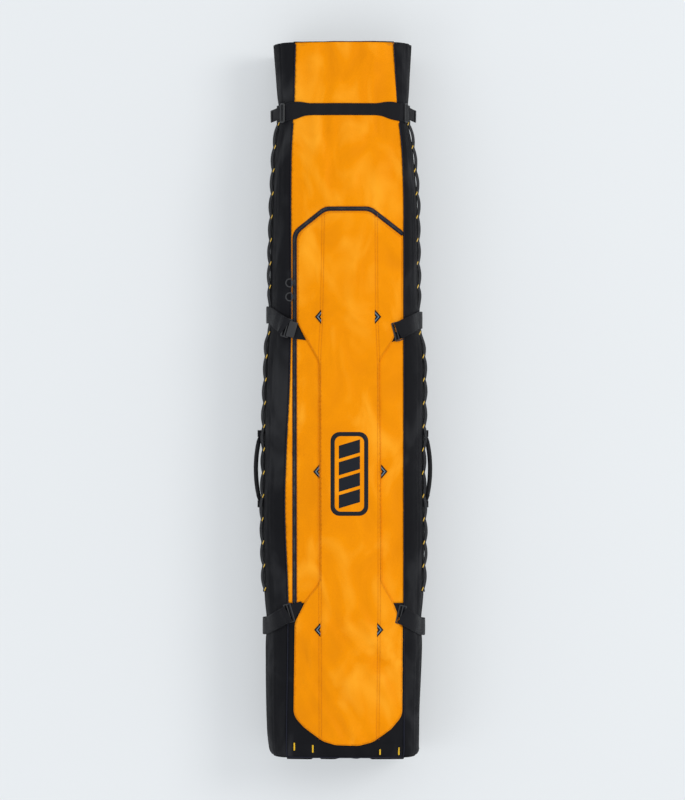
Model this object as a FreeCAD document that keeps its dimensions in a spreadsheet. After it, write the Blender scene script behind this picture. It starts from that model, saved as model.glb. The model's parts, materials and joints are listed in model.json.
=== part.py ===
"""Wheeled ski bag, lying on its back: +Z is the front with the lid, +Y the top end, -Y the wheel end."""

import FreeCAD
import Part
import Sketcher
import math
import os

Vec = FreeCAD.Vector
BIG = 400.0  # half size of a cutting block, larger than the bag is wide or deep
BELOW, ABOVE = -50.0, 400.0  # heights below and above everything in the bag

doc = FreeCAD.newDocument("ski_bag")
sheet = doc.addObject("Spreadsheet::Sheet", "dims")

# Driving dimensions in millimetres, by alias.
DIMENSIONS = {
    # body of the bag
    "mid_height": 105, "back_half_width": 160, "back_height": 8, "crown": 14,
    "crown_centre": 11.5, "crown_half_width": 150.5,
    "gusset_thickness": 5, "front_thickness": 4, "end_thickness": 5, "end_lean": 25,
    "end_reference": 210, "heel_chamfer": 50,
    # lid and zipper, in plan
    "zip_left": -129, "zip_top": 506, "zip_top_left": -48, "zip_top_right": 72,
    "zip_left_corner": 442, "zip_right_corner": 437, "hinge_side": 162, "lid_edge_gap": 4.5,
    "zip_bottom": -539, "zip_corner_radius": 40, "tape_width": 6.5, "tape_gap": 0.25,
    "tape_thickness": 1.5, "coil_width": 2.2, "coil_height": 1.2,
    "piping_radius": 1.6, "piping_inset": 1.6, "piping_rise": 2.2, "piping_cinch_gap": 4,
    "piping_heel_gap": 6, "piping_crest_gap": 8,
    # overlay
    "overlay_thickness": 3, "overlay_inset": 8, "stitch_gap": 0.5,
    "loop_reach": 14, "loop_half_height": 17, "loop_width": 6, "loop_thickness": 2,
    "loop_blunt": 2, "loop_slant": 1.4,
    # webbing
    "webbing": 1.6, "strap_width": 45, "strap_run": 50, "cinch_middle_width": 29,
    "tail_width": 32, "strap_gap": 0.8, "tab_length": 22, "tab_margin": 5, "bar_gap": 0.2,
    "turn_length": 100,
    "daisy_width": 24, "daisy_turn": 0.8, "daisy_pitch": 62, "daisy_bulge": 6,
    "daisy_gap": 0.4, "daisy_top": 735, "daisy_loops": 20,
    "tack_length": 10, "tack_width": 4, "tack_height": 1, "tack_gap": 0.3, "tack_lift": 1.2,
    "daisy_turn_length": 150, "daisy_strap_clearance": 70,
    # ladder-lock buckle and the hook plate of the upper left strap
    "lock_length": 21, "lock_thickness": 3, "lock_bar": 3.5, "lock_slot": 5.5,
    "lock_margin": 3, "lock_corner": 3,
    "hook_length": 22, "hook_thickness": 2, "hook_lip": 2, "hook_drop": 2.4,
    "hook_clearance": 0.2, "hook_margin": 3, "hook_play": 1,
    # zipper sliders and pulls
    "slider_length": 15, "slider_width": 9, "slider_thickness": 1.8, "slider_rise": 1.4,
    "lug_length": 2.5, "lug_width": 3, "pin_radius": 0.8, "pin_height": 5, "pin_side": 3,
    "pin_recess": 1, "lug_wall": 0.6, "slider_upper": 309, "slider_lower": 272,
    "pull_length": 20, "pull_width": 24, "pull_thickness": 2.4, "pull_wire": 3,
    "pull_slack": 0.15, "pull_root": 2.5, "pull_root_slope": 0.7, "eye_wall": 0.2, "eye_play": 1,
    # side handles and top handle
    "handle_radius": 6, "handle_end_radius": 4, "handle_span": 166, "handle_rise": 10,
    "handle_centre": -185, "handle_standoff": 6, "handle_height": 112, "handle_end": 20,
    "anchor_length": 18, "anchor_height": 26, "anchor_depth": 11, "anchor_play": 0.3,
    "anchor_gap": 2, "anchor_round": 3, "handle_pin_overlap": 6,
    "grab_width": 140, "grab_drop": 52, "grab_webbing": 22, "grab_thickness": 4,
    "grab_height": 150, "grab_gap": 1.5, "grab_anchor": 24, "grab_clear": 4,
    "grab_anchor_sink": 0.6,
    # wheels
    "wheel_radius": 38, "wheel_width": 28, "wheel_side": 134, "wheel_height": 38,
    "wheel_inset": 42, "hub_radius": 28, "hub_width": 24, "bearing_radius": 11,
    "bearing_width": 7, "bearing_inset": 1, "hub_bore_play": 2, "tyre_round": 5,
    "axle_radius": 4, "axle_play": 0.1,
    "axle_length": 50, "axle_head_radius": 7, "axle_head": 3,
    "well_wall": 4, "well_half_width": 19, "well_depth": 84, "well_height": 80,
    "chassis_reach": 800, "chassis_wall_top": 112,
    # skid rails
    "rail_width": 16, "rail_side": 96, "rail_length": 1640, "rail_centre": 40,
    "rail_chamfer": 4, "screw_count": 6, "screw_pitch": 300, "screw_radius": 2,
    "screw_head_radius": 4, "screw_head": 2.5, "screw_length": 15, "screw_sink": 1,
    # inside
    "board_width": 290, "board_length": 1690, "board_start": -790, "board_thickness": 2,
    "foam_thickness": 8, "foam_gap": 1.5, "end_pad": 18, "heel_pad_gap": 0.5,
    "end_pad_width": 200, "heel_pad_low": 62,
    "heel_pad_height": 120, "top_pad_low": 26, "top_pad_height": 150, "top_pad_place": 893,
    "tie_width": 25, "tie_length": 280, "tie_place": 380, "tie_buckle_length": 46,
    "tie_buckle_width": 34, "tie_buckle_height": 8, "tie_buckle_round": 2.5, "tie_gap": 0.1,
}
# Cross-sections from the wheel end to the top end: place along the bag, reach of the left and
# right sides, places of the left and right front seams, height of the seams.
STATIONS = {
    "heel": (-950, 176, 182, 148, 160, 226),
    "base": (-925, 198, 203, 150, 162, 232),
    "low": (-574, 207, 212, 146, 162, 232),
    "belly": (-277, 216, 217, 155, 162, 232),
    "waist": (94, 206, 216, 141, 162, 232),
    "chest": (242, 196, 202, 138, 162, 232),
    "shoulder": (505, 190, 198, 139, 162, 232),
    "neck": (650, 184, 187, 138, 158, 220),
    "cinch": (762, 172, 174, 132, 147, 198),
    "crest": (950, 184, 180, 127, 135, 194),
}
COLUMNS = ("place", "left", "right", "left_seam", "right_seam", "seam_height")


def fill_sheet():
    """Writes every driving dimension into the spreadsheet, each cell with its alias."""
    cells = dict(DIMENSIONS)
    for name, values in STATIONS.items():
        for column, value in zip(COLUMNS, values):
            cells[name + "_" + column] = value
    for row, (alias, value) in enumerate(cells.items(), start=1):
        sheet.set("A%d" % row, alias)
        sheet.set("B%d" % row, str(value))
        sheet.setAlias("B%d" % row, alias)
    doc.recompute()


def dim(alias):
    """Value of a driving dimension, read from the spreadsheet."""
    return float(getattr(sheet, alias))


fill_sheet()


# ---------------------------------------------------------------- shape of the bag


def station_rows():
    return [[dim(name + "_" + column) for column in COLUMNS] for name in STATIONS]


ROWS = station_rows()
PLACES = [row[0] for row in ROWS]


def section(y):
    """Left reach, right reach, left seam, right seam and seam height at a place along the bag."""
    y = min(max(y, PLACES[0]), PLACES[-1])
    for low, high in zip(ROWS, ROWS[1:]):
        if y <= high[0]:
            part = (y - low[0]) / (high[0] - low[0])
            return [a + part * (b - a) for a, b in zip(low[1:], high[1:])]
    return ROWS[-1][1:]


def front_height(x, y):
    """Height of the front fabric above a plan point, the same arch all along the bag."""
    seam_height = section(y)[4]
    away = (x - dim("crown_centre")) / dim("crown_half_width")
    return seam_height + dim("crown") * (1 - away * away)


def side_point(side, turn, y, lift):
    """Point on the side of the bag: side is -1 or 1, turn runs from 0 at the front seam over 1 at
    the widest line to 2 at the back, and lift is the distance outside the fabric."""
    left, right, left_seam, right_seam, _ = section(y)
    reach, seam = (left, left_seam) if side < 0 else (right, right_seam)
    middle, back = dim("mid_height"), dim("back_half_width")
    seam_height = front_height(side * seam, y)
    if turn <= 1:
        angle = math.radians(90 * turn)
        x = seam + (reach - seam + lift) * math.sin(angle)
        z = middle + (seam_height - middle + lift) * math.cos(angle)
    else:
        angle = math.radians(90 * (turn - 1))
        x = back + (reach - back + lift) * math.cos(angle)
        z = middle - (middle - dim("back_height") + lift) * math.sin(angle)
    return Vec(side * x, y, z)


def front_point(across, y, lift):
    """Point on the front: across runs from -1 at the left seam to 1 at the right one."""
    _, _, left_seam, right_seam, _ = section(y)
    centre, half = (right_seam - left_seam) / 2, (right_seam + left_seam) / 2
    x = centre + across * half
    return Vec(x, y, front_height(x, y) + lift)


def places_between(start, end):
    """The places of the cross-sections between two ends, with the ends themselves."""
    return [start] + [p for p in PLACES if start < p < end] + [end]


def solid_of(points, triangles):
    shape = Part.Shape()
    shape.makeShapeFromMesh((points, triangles), 0.001)
    solid = Part.makeSolid(shape)
    if solid.Volume < 0:
        solid.reverse()
    return solid.removeSplitter()


def quad(a, b, c, d):
    return [(a, b, c), (a, c, d)]


def grid_solid(low, high):
    """Closed solid between two grids of points, low[row][column] and high[row][column]."""
    rows, columns = len(low), len(low[0])
    points = [p for grid in (low, high) for row in grid for p in row]

    def at(layer, row, column):
        return layer * rows * columns + row * columns + column

    triangles = []
    for r in range(rows - 1):
        for c in range(columns - 1):
            triangles += quad(at(0, r, c), at(0, r, c + 1), at(0, r + 1, c + 1), at(0, r + 1, c))
            triangles += quad(at(1, r, c), at(1, r + 1, c), at(1, r + 1, c + 1), at(1, r, c + 1))
    for r in range(rows - 1):
        for c, flip in ((0, False), (columns - 1, True)):
            edge = [at(0, r, c), at(0, r + 1, c), at(1, r + 1, c), at(1, r, c)]
            triangles += quad(*(edge[::-1] if flip else edge))
    for c in range(columns - 1):
        for r, flip in ((0, True), (rows - 1, False)):
            edge = [at(0, r, c), at(0, r, c + 1), at(1, r, c + 1), at(1, r, c)]
            triangles += quad(*(edge[::-1] if flip else edge))
    return solid_of(points, triangles)


def steps(start, end, count):
    return [start + (end - start) * i / count for i in range(count + 1)]


def side_patch(side, turns, ys, low, high):
    """Curved solid on one side, over a list of turns and of places along the bag."""
    grids = [[[side_point(side, t, y, lift) for t in turns] for y in ys] for lift in (low, high)]
    return grid_solid(*grids)


FRONT_STEPS = steps(-1, 1, 8)
SIDE_TURNS = steps(0, 1, 6) + steps(1, 2, 4)[1:]
front_sheets = {}


def front_sheet(low, high):
    """Whole front between two heights above its fabric, from seam to seam."""
    if (low, high) not in front_sheets:
        grids = [[[front_point(a, y, lift) for a in FRONT_STEPS] for y in PLACES]
                 for lift in (low, high)]
        front_sheets[low, high] = grid_solid(*grids)
    return front_sheets[low, high]


def hull():
    """The whole bag as one closed solid."""
    loops = []
    for y in PLACES:
        right = [side_point(1, t, y, 0) for t in SIDE_TURNS]
        left = [side_point(-1, t, y, 0) for t in SIDE_TURNS]
        front = [front_point(a, y, 0) for a in FRONT_STEPS]
        loops.append(front + right[1:] + left[:0:-1])
    count = len(loops[0])
    points = [p for loop in loops for p in loop]
    triangles = []
    for r in range(len(loops) - 1):
        for c in range(count):
            after = (c + 1) % count
            triangles += quad(r * count + c, r * count + after,
                              (r + 1) * count + after, (r + 1) * count + c)
    last = (len(loops) - 1) * count
    for c in range(1, count - 1):
        triangles.append((0, c + 1, c))
        triangles.append((last, last + c, last + c + 1))
    return solid_of(points, triangles)


def side_view_block(outline):
    """Block across the whole bag from an outline of (along, height) pairs."""
    points = [Vec(-BIG, y, z) for y, z in outline]
    face = Part.Face(Part.makePolygon(points + points[:1]))
    return face.extrude(Vec(2 * BIG, 0, 0))


def box_between(low, high):
    size = [b - a for a, b in zip(low, high)]
    return Part.makeBox(*size, Vec(*low))


# ---------------------------------------------------------------- plan outlines


def plan_face(points, radii=None):
    """Flat face from plan points, with the corners named in radii rounded."""
    corners = [Vec(x, y, 0) for x, y in points]
    edges, count = [], len(corners)
    trimmed = []
    for i, corner in enumerate(corners):
        radius = (radii or {}).get(i, 0)
        before, after = corners[i - 1], corners[(i + 1) % count]
        one, two = (before - corner).normalize(), (after - corner).normalize()
        if radius:
            half = one.getAngle(two) / 2
            reach = radius / math.tan(half)
            middle = corner + (one + two).normalize() * (radius / math.sin(half) - radius)
            trimmed.append((corner + one * reach, middle, corner + two * reach))
        else:
            trimmed.append((corner,))
    for i, here in enumerate(trimmed):
        if len(here) == 3:
            edges.append(Part.Arc(*here).toShape())
        edges.append(Part.makeLine(here[-1], trimmed[(i + 1) % count][0]))
    return Part.Face(Part.Wire(edges))


def rectangle(x_low, x_high, y_low, y_high):
    return plan_face([(x_low, y_low), (x_high, y_low), (x_high, y_high), (x_low, y_high)])


def prism(face):
    """Upright block over a plan face, tall enough for the bag."""
    lowered = face.copy()
    lowered.translate(Vec(0, 0, -BIG))
    return lowered.extrude(Vec(0, 0, 2 * BIG))


def front_piece(region, low, high):
    """Piece of the front between two heights, inside a plan region."""
    return front_sheet(low, high).common(prism(region)).removeSplitter()


def zip_line():
    """Plan outline through the middle of the zipper; its right side lies outside the bag."""
    slope = ((dim("zip_top") - dim("zip_right_corner"))
             / (dim("hinge_side") - dim("zip_top_right")))
    outside = 200
    below = dim("zip_bottom") - outside
    points = [
        (outside, below),
        (outside, dim("zip_right_corner") - slope * (outside - dim("hinge_side"))),
        (dim("zip_top_right"), dim("zip_top")),
        (dim("zip_top_left"), dim("zip_top")),
        (dim("zip_left"), dim("zip_left_corner")),
        (dim("zip_left"), below),
    ]
    radius = dim("zip_corner_radius")
    return plan_face(points, {2: radius, 3: radius, 4: radius})


def grown(face, distance):
    return face.makeOffset2D(distance, 0, False, False)


LID_EDGE = dim("hinge_side") - dim("lid_edge_gap")
LID_BOTTOM = dim("zip_bottom")
zip_face = zip_line()


def lid_band():
    """Plan area that the lid may cover."""
    return rectangle(-BIG, LID_EDGE, LID_BOTTOM, 2 * BIG)


# Plan outline of the hourglass overlay: wide at the top, narrow in the middle and wide below. Its
# upper corners lie past the zipper, which cuts it off.
OVERLAY = (
    (-BIG, 520), (-BIG, 203), (-124.5, 203), (-63, 98), (-61, -484), (-127, -587), (-131, -837),
    (-60, -902), (-40, -912), (52, -916), (82, -906), (157, -837), (158, -592), (127, -529),
    (103, -484), (95, 101), (129, 152), (157, 212), (BIG, 212), (BIG, 520),
)


def loop_outline(seam, middle, side):
    """V-shaped lash loop that points away from its seam."""
    reach, half, width = dim("loop_reach"), dim("loop_half_height"), dim("loop_width")
    blunt, cut_height = dim("loop_blunt"), width * dim("loop_slant")
    outer = [(0, half), (reach, blunt), (reach, -blunt), (0, -half)]
    inner = [(0, -half + cut_height), (reach - width, 0), (0, half - cut_height)]
    return plan_face([(seam + side * x, middle + y) for x, y in outer + inner])


# ---------------------------------------------------------------- document helpers


parts = []


def keep(feature):
    parts.append(feature)
    return feature


def free_shape(label, shape, placement=None):
    """Sub-part whose shape is set directly, with its label as the node name."""
    feature = doc.addObject("Part::Feature", label)
    feature.Label = label
    if isinstance(shape, list):
        shape = Part.makeCompound(shape)
    feature.Shape = shape
    if placement is not None:
        feature.Placement = placement
    return keep(feature)


def primitive(kind, name, **expressions):
    """Part primitive with its sizes bound to the spreadsheet."""
    feature = doc.addObject("Part::" + kind, name)
    for size, expression in expressions.items():
        feature.setExpression(size, expression)
    return feature


def cut(name, base, tool):
    feature = doc.addObject("Part::Cut", name)
    feature.Base, feature.Tool = base, tool
    return feature


def fuse(name, base, tool):
    feature = doc.addObject("Part::Fuse", name)
    feature.Base, feature.Tool = base, tool
    return feature


def plane_of(body, role):
    return [f for f in body.Origin.OriginFeatures if f.Role == role][0]


def new_sketch(body, name, role="XY_Plane"):
    sketch = body.newObject("Sketcher::SketchObject", name)
    sketch.AttachmentSupport = [(plane_of(body, role), "")]
    sketch.MapMode = "FlatFace"
    return sketch


def sketch_rectangle(sketch, width, height, left, bottom):
    """Rectangle whose size and lower left corner are expressions on the spreadsheet."""
    first = sketch.GeometryCount
    corners = [Vec(0, 0, 0), Vec(1, 0, 0), Vec(1, 1, 0), Vec(0, 1, 0)]
    for i in range(4):
        sketch.addGeometry(Part.LineSegment(corners[i], corners[(i + 1) % 4]), False)
    for i in range(4):
        here, after = first + i, first + (i + 1) % 4
        sketch.addConstraint(Sketcher.Constraint("Coincident", here, 2, after, 1))
        kind = "Horizontal" if i % 2 == 0 else "Vertical"
        sketch.addConstraint(Sketcher.Constraint(kind, here))
    sized = [
        (Sketcher.Constraint("DistanceX", first, 1, first, 2, 1), width),
        (Sketcher.Constraint("DistanceY", first + 1, 1, first + 1, 2, 1), height),
        (Sketcher.Constraint("DistanceX", -1, 1, first, 1, 1), left),
        (Sketcher.Constraint("DistanceY", -1, 1, first, 1, 1), bottom),
    ]
    for constraint, expression in sized:
        index = sketch.addConstraint(constraint)
        sketch.setExpression("Constraints[%d]" % index, expression)


def padded(body, sketch, length, both_ways=False):
    pad = body.newObject("PartDesign::Pad", sketch.Name + "_pad")
    pad.Profile = sketch
    pad.setExpression("Length", length)
    pad.Midplane = both_ways
    return pad


def new_body(label):
    body = doc.addObject("PartDesign::Body", label)
    body.Label = label
    return body


def group(label, members):
    """One node made of several separate solids."""
    compound = doc.addObject("Part::Compound", label)
    compound.Links = members
    compound.Label = label
    return keep(compound)


# ---------------------------------------------------------------- fabric shell


def inner_limit():
    """Side outline inside the end panels and the heel chamfer."""
    back, thick = dim("heel_place") * -1, dim("end_thickness")
    line = -(back - dim("heel_chamfer")) + dim("back_height") + thick * math.sqrt(2)
    lean = dim("end_lean") / (dim("end_reference") - dim("back_height"))
    top = dim("crest_place") - thick
    return [
        (-back + thick, line + back - thick), (-back + thick, ABOVE),
        (top + lean * (ABOVE - dim("end_reference")), ABOVE),
        (top + lean * (BELOW - dim("end_reference")), BELOW), (line - BELOW, BELOW),
    ]


def heel_line(offset):
    """Constant of the heel chamfer plane, along plus height, pushed in by an offset."""
    return dim("heel_place") + dim("heel_chamfer") + dim("back_height") + offset * math.sqrt(2)


def build_shell(holes):
    whole = hull()
    inside = side_view_block(inner_limit())
    thick, end = dim("gusset_thickness"), dim("end_thickness")
    for side, name in ((-1, "left_gusset"), (1, "right_gusset")):
        skin = side_patch(side, SIDE_TURNS, PLACES, -thick, 0)
        free_shape(name, skin.common(inside).removeSplitter())

    back, low = dim("back_half_width"), dim("back_height")
    reach = dim("chassis_reach")
    panel = box_between((-back, -reach, low), (back, 3 * BIG, low + thick))
    free_shape("back_panel", panel.common(inside).cut(holes))

    limit = heel_line(end)
    lean = dim("end_lean") / (dim("end_reference") - low)
    top, heel = dim("crest_place"), dim("heel_place")
    beyond = [(top + lean * (z - dim("end_reference")), z) for z in (BELOW, ABOVE)]
    outer_top = side_view_block([(0, BELOW), beyond[0], beyond[1], (0, ABOVE)])
    near_top = box_between((-BIG, top - BIG / 4, BELOW), (BIG, top + BIG / 4, ABOVE))
    end_panel = whole.common(outer_top).cut(inside).common(near_top)
    free_shape("top_end_panel", end_panel.removeSplitter())

    wall_top = dim("chassis_wall_top")
    end_slab = whole.common(side_view_block(
        [(heel, limit - heel), (heel, ABOVE), (heel + end, ABOVE),
         (heel + end, limit - heel - end)]))
    moulded = box_between((-back, heel - end, BELOW), (back, heel + 2 * end, wall_top))
    free_shape("base_end_panel", end_slab.cut(moulded).removeSplitter())
    build_chassis(whole, end_slab.common(moulded))


def wheel_places():
    return {"left": -dim("wheel_side"), "right": dim("wheel_side")}


def build_chassis(whole, end_wall):
    """Moulded wheel base: back plate, heel chamfer, end wall and two wheel wells."""
    back, low = dim("back_half_width"), dim("back_height")
    heel, end = dim("heel_place"), dim("end_thickness")
    inner, outer = heel_line(end), heel_line(0)
    chamfer = whole.common(side_view_block(
        [(outer - BELOW, BELOW), (outer - ABOVE, ABOVE), (inner - ABOVE, ABOVE),
         (inner - BELOW, BELOW)]))
    chamfer = chamfer.common(box_between((-BIG, heel, low), (BIG, 0, BIG)))
    plate = side_view_block([(-dim("chassis_reach"), low), (inner - low, low),
                             (inner - low - end, low + end), (-dim("chassis_reach"), low + end)])
    plate = plate.common(box_between((-back, heel, low), (back, 0, low + end)))
    chassis = plate.fuse([chamfer, end_wall])
    wall, half = dim("well_wall"), dim("well_half_width")
    deep, high = dim("well_depth"), dim("well_height")
    axle_y = heel + dim("wheel_inset")
    for x in wheel_places().values():
        cover = box_between((x - half - wall, heel, low),
                            (x + half + wall, heel + deep + wall, high + wall))
        chassis = chassis.fuse(cover.common(side_view_block(inner_limit())))
    for x in wheel_places().values():
        well = box_between((x - half, heel - deep, BELOW), (x + half, heel + deep, high))
        bore = Part.makeCylinder(dim("axle_radius"), 2 * half + 4 * wall,
                                 Vec(x - half - 2 * wall, axle_y, dim("wheel_height")),
                                 Vec(1, 0, 0))
        chassis = chassis.cut([well, bore])
    free_shape("wheel_chassis", chassis.removeSplitter())


MESH_POCKET = (-100, 130, 40, 400)  # left, right, lower and upper edges in plan


def build_front():
    """Front fabric: surround, lid, base panel, zipper and overlay."""
    thick, tape, gap = dim("front_thickness"), dim("tape_width"), dim("tape_gap")
    outside, inside = grown(zip_face, tape), grown(zip_face, -tape)
    seams = dim("stitch_gap")
    block = side_view_block(inner_limit())
    upper = rectangle(-BIG, BIG, LID_BOTTOM, 3 * BIG)
    surround = front_piece(upper.cut(outside), -thick, 0)
    free_shape("front_surround", surround.common(block).removeSplitter())
    lower = rectangle(-BIG, BIG, -3 * BIG, LID_BOTTOM - seams)
    base = front_piece(lower, -thick, 0).common(block)
    free_shape("front_base_panel", base.removeSplitter())

    band = lid_band()
    free_shape("lid_panel", front_piece(inside.common(band), -thick, 0))
    lid_tape = grown(zip_face, -gap).cut(inside).common(band)
    free_shape("lid_zipper_tape", front_piece(lid_tape, -dim("tape_thickness"), 0))
    beside = rectangle(-BIG, LID_EDGE, LID_BOTTOM, 3 * BIG)
    frame_tape = outside.cut(grown(zip_face, gap)).common(beside)
    free_shape("frame_zipper_tape", front_piece(frame_tape, -dim("tape_thickness"), 0))
    coil = dim("coil_width")
    lid_coil = grown(zip_face, -gap).cut(grown(zip_face, -coil)).common(band)
    free_shape("lid_zipper_coil", front_piece(lid_coil, 0, dim("coil_height")))
    frame_coil = grown(zip_face, coil).cut(grown(zip_face, gap)).common(beside)
    free_shape("frame_zipper_coil", front_piece(frame_coil, 0, dim("coil_height")))

    shape, high = plan_face(OVERLAY), dim("overlay_thickness")
    lid_overlay = shape.common(grown(zip_face, -dim("overlay_inset"))).common(band)
    edge = rectangle(-BIG, LID_EDGE - 1, -3 * BIG, 3 * BIG)
    base_overlay = shape.common(lower)
    free_shape("lid_overlay", front_piece(lid_overlay.common(edge), 0, high))
    free_shape("base_overlay", front_piece(base_overlay, 0, high))
    pocket = front_piece(rectangle(*MESH_POCKET), -thick - dim("webbing"), -thick)
    free_shape("lid_mesh_pocket", pocket)


LOOP_PLACES = {
    "lid": ((-58, 219, -1, True), (85, 219, 1, True), (-62.8, -191, -1, False),
            (101.5, -191, 1, False)),
    "base": ((-60, -610, -1, True), (91, -610, 1, True)),
}


def build_loops():
    """Lash loops: those of the wide parts lie on the overlay, the middle pair beside it."""
    over, thick = dim("overlay_thickness"), dim("loop_thickness")
    for name, places in LOOP_PLACES.items():
        loops = []
        for seam, middle, side, on_overlay in places:
            low = over if on_overlay else 0
            loops.append(front_piece(loop_outline(seam, middle, side), low, low + thick))
        free_shape(name + "_lash_loops", loops)


def piping(side, start, end):
    """Round piping along a front seam."""
    rings = []
    for y in places_between(start, end):
        seam = side_point(side, 0, y, 0)
        centre = seam + Vec(-side * dim("piping_inset"), 0, dim("piping_rise"))
        circle = Part.makeCircle(dim("piping_radius"), centre, Vec(0, 1, 0))
        rings.append(Part.Wire(circle))
    return Part.makeLoft(rings, True, True)


def build_piping():
    """The top band passes over the seams, so the piping stops each side of it."""
    band, half = dim("cinch_place"), dim("strap_width") / 2 + dim("piping_cinch_gap")
    start = dim("heel_place") + dim("piping_heel_gap")
    end = dim("crest_place") - dim("piping_crest_gap")
    runs = []
    for side in (-1, 1):
        runs += [piping(side, start, band - half), piping(side, band + half, end)]
    free_shape("seam_piping", runs)


# ---------------------------------------------------------------- webbing


def ribbon(rows):
    """Flat webbing through rows of surface functions: each row is (surface, place, lift, width)
    and surface(place_along_the_bag, lift) gives a point."""
    grids = []
    for extra in (0, dim("webbing")):
        grids.append([[surface(y + part * width, lift + extra) for part in (-0.5, 0, 0.5)]
                      for surface, y, lift, width in rows])
    return grid_solid(*grids)


def on_front(x):
    return lambda y, lift: Vec(x, y, front_height(x, y) + lift)


def on_side(side, turn):
    return lambda y, lift: side_point(side, turn, y, lift)


def side_placement(side, turn, y, lift):
    """Placement on the side of the bag: local X leads down round the bag, local Z points out."""
    here = side_point(side, turn, y, lift)
    along = (side_point(side, turn + 0.02, y, lift) - side_point(side, turn - 0.02, y, lift))
    along.y = 0
    along.normalize()
    cross = Vec(0, side, 0)
    return FreeCAD.Placement(here, FreeCAD.Rotation(along, cross, along.cross(cross), "ZXY"))


def flat_placement(x, y, z, yaw, tilt=0):
    turned = FreeCAD.Rotation(Vec(0, 0, 1), yaw).multiply(FreeCAD.Rotation(Vec(0, 1, 0), tilt))
    return FreeCAD.Placement(Vec(x, y, z), turned)


def ladder_lock(label, placement):
    """Ladder-lock buckle: a flat frame with two slots across the strap."""
    body = new_body(label)
    width = "dims.strap_width + 2 * dims.lock_margin"
    outline = new_sketch(body, label + "_outline")
    sketch_rectangle(outline, "dims.lock_length", width, "-dims.lock_length / 2",
                     "-dims.strap_width / 2 - dims.lock_margin")
    pad = padded(body, outline, "dims.lock_thickness")
    slots = new_sketch(body, label + "_slots")
    for left in ("dims.lock_bar - dims.lock_length / 2",
                 "dims.lock_length / 2 - dims.lock_bar - dims.lock_slot"):
        sketch_rectangle(slots, "dims.lock_slot", "dims.strap_width", left,
                         "-dims.strap_width / 2")
    pocket = body.newObject("PartDesign::Pocket", label + "_pocket")
    pocket.Profile = slots
    pocket.Type = "ThroughAll"
    pocket.Reversed = True
    doc.recompute()
    if pocket.Shape.Volume > 0.8 * pad.Shape.Volume:
        raise SystemExit("the slots of %s cut nothing" % label)
    edges = []
    corner = (dim("lock_length") / 2, dim("strap_width") / 2 + dim("lock_margin"))
    for i, edge in enumerate(pocket.Shape.Edges, start=1):
        middle = edge.CenterOfMass
        if abs(abs(middle.x) - corner[0]) < 0.01 and abs(abs(middle.y) - corner[1]) < 0.01:
            edges.append("Edge%d" % i)
    rounding = body.newObject("PartDesign::Fillet", label + "_rounding")
    rounding.Base = (pocket, edges)
    rounding.setExpression("Radius", "dims.lock_corner")
    body.Placement = placement
    return body


SEAM_LIFT = 4.2  # a lock clears the piping by this much above the front fabric
BRIDGE_HEIGHT = 240.5  # underside of the lock that bridges the zipper
STRAPS = {
    # side, x and y of the lock, its height above the front, its yaw, y where the strap ends
    "upper_left": (-1, -150, 190, None, -16, 226),
    "upper_right": (1, 143.5, 180, 4, 14, 212),
    "lower_left": (-1, -143, -566, SEAM_LIFT, 16, -604),
    "lower_right": (1, 154, -570, SEAM_LIFT, -14, -606),
}
PAST_BAR = 1  # how far a strap runs level past the edge of its lock
MIN_STEP = 8  # least distance across the bag between the lock and the strap's next bend
# Turns round the side at which the gusset's facets meet, with the lift of a tight strap there.
WRAP = ((1 / 6, 6.5), (2 / 6, 5), (3 / 6, 3.5), (4 / 6, 3), (5 / 6, 6), (1, 7), (1.25, 2.5),
        (1.5, 1.2), (1.75, 1))


def lock_bottom(name):
    _, x, y, lift, _, _ = STRAPS[name]
    if lift is None:
        return BRIDGE_HEIGHT
    half = dim("lock_length") / 2
    return max(front_height(x - half, y), front_height(x + half, y)) + lift


def slanted(x, y, yaw, height):
    """Level row through a point, turned with the lock's yaw."""
    return lambda place, lift: Vec(x - (place - y) * math.tan(math.radians(yaw)), place,
                                   height + lift)


def beside_lock(name, distance):
    """Plan point on the strap's line at a distance from the middle of the lock."""
    side, x, y, _, yaw, _ = STRAPS[name]
    turn = math.radians(yaw)
    return x + side * distance * math.cos(turn), y + side * distance * math.sin(turn)


def build_side_straps():
    """Compression straps: a lock on the front, and webbing from it round the side of the bag."""
    half = dim("lock_length") / 2
    for name, (side, _, _, _, yaw, end) in STRAPS.items():
        top = lock_bottom(name) + dim("lock_thickness") + dim("bar_gap")
        run, width = dim("strap_run"), dim("strap_width")
        rows = []
        for distance in (half - dim("lock_bar") / 2, half + PAST_BAR):
            bar_x, bar_y = beside_lock(name, distance)
            rows.append((slanted(bar_x, bar_y, yaw, top), bar_y, 0, width))
        drift = (end - bar_y) / len(WRAP)
        for i, (turn, away) in enumerate(WRAP, start=1):
            if abs(side_point(side, turn, bar_y, away).x) > abs(bar_x) + MIN_STEP:
                rows.append((on_side(side, turn), bar_y + drift * i, away, run))
        free_shape("strap_" + name, ribbon(rows))


def tab(name):
    """Short webbing from under an overlay wing onto its lock or hook plate."""
    over, gap = dim("overlay_thickness"), dim("strap_gap")
    yaw = STRAPS[name][4]
    top = lock_bottom(name) + dim("lock_thickness") + dim("bar_gap")
    reach = dim("lock_length") / 2
    if name == "upper_left":
        top += dim("hook_clearance") + dim("hook_thickness")
        reach += dim("hook_length") - dim("lock_bar") - dim("hook_lip") - dim("hook_play")
    width = dim("strap_width") - dim("tab_margin")
    rows = []
    for distance in (reach - dim("lock_bar"), reach + PAST_BAR / 2):
        bar_x, bar_y = beside_lock(name, -distance)
        rows.append((slanted(bar_x, bar_y, yaw, top), bar_y, 0, width))
    for step in (0.5, 1):
        end_x, end_y = beside_lock(name, -reach - step * dim("tab_length"))
        rows.append((on_front(end_x), end_y, over + gap, width))
    return ribbon(rows)


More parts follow.
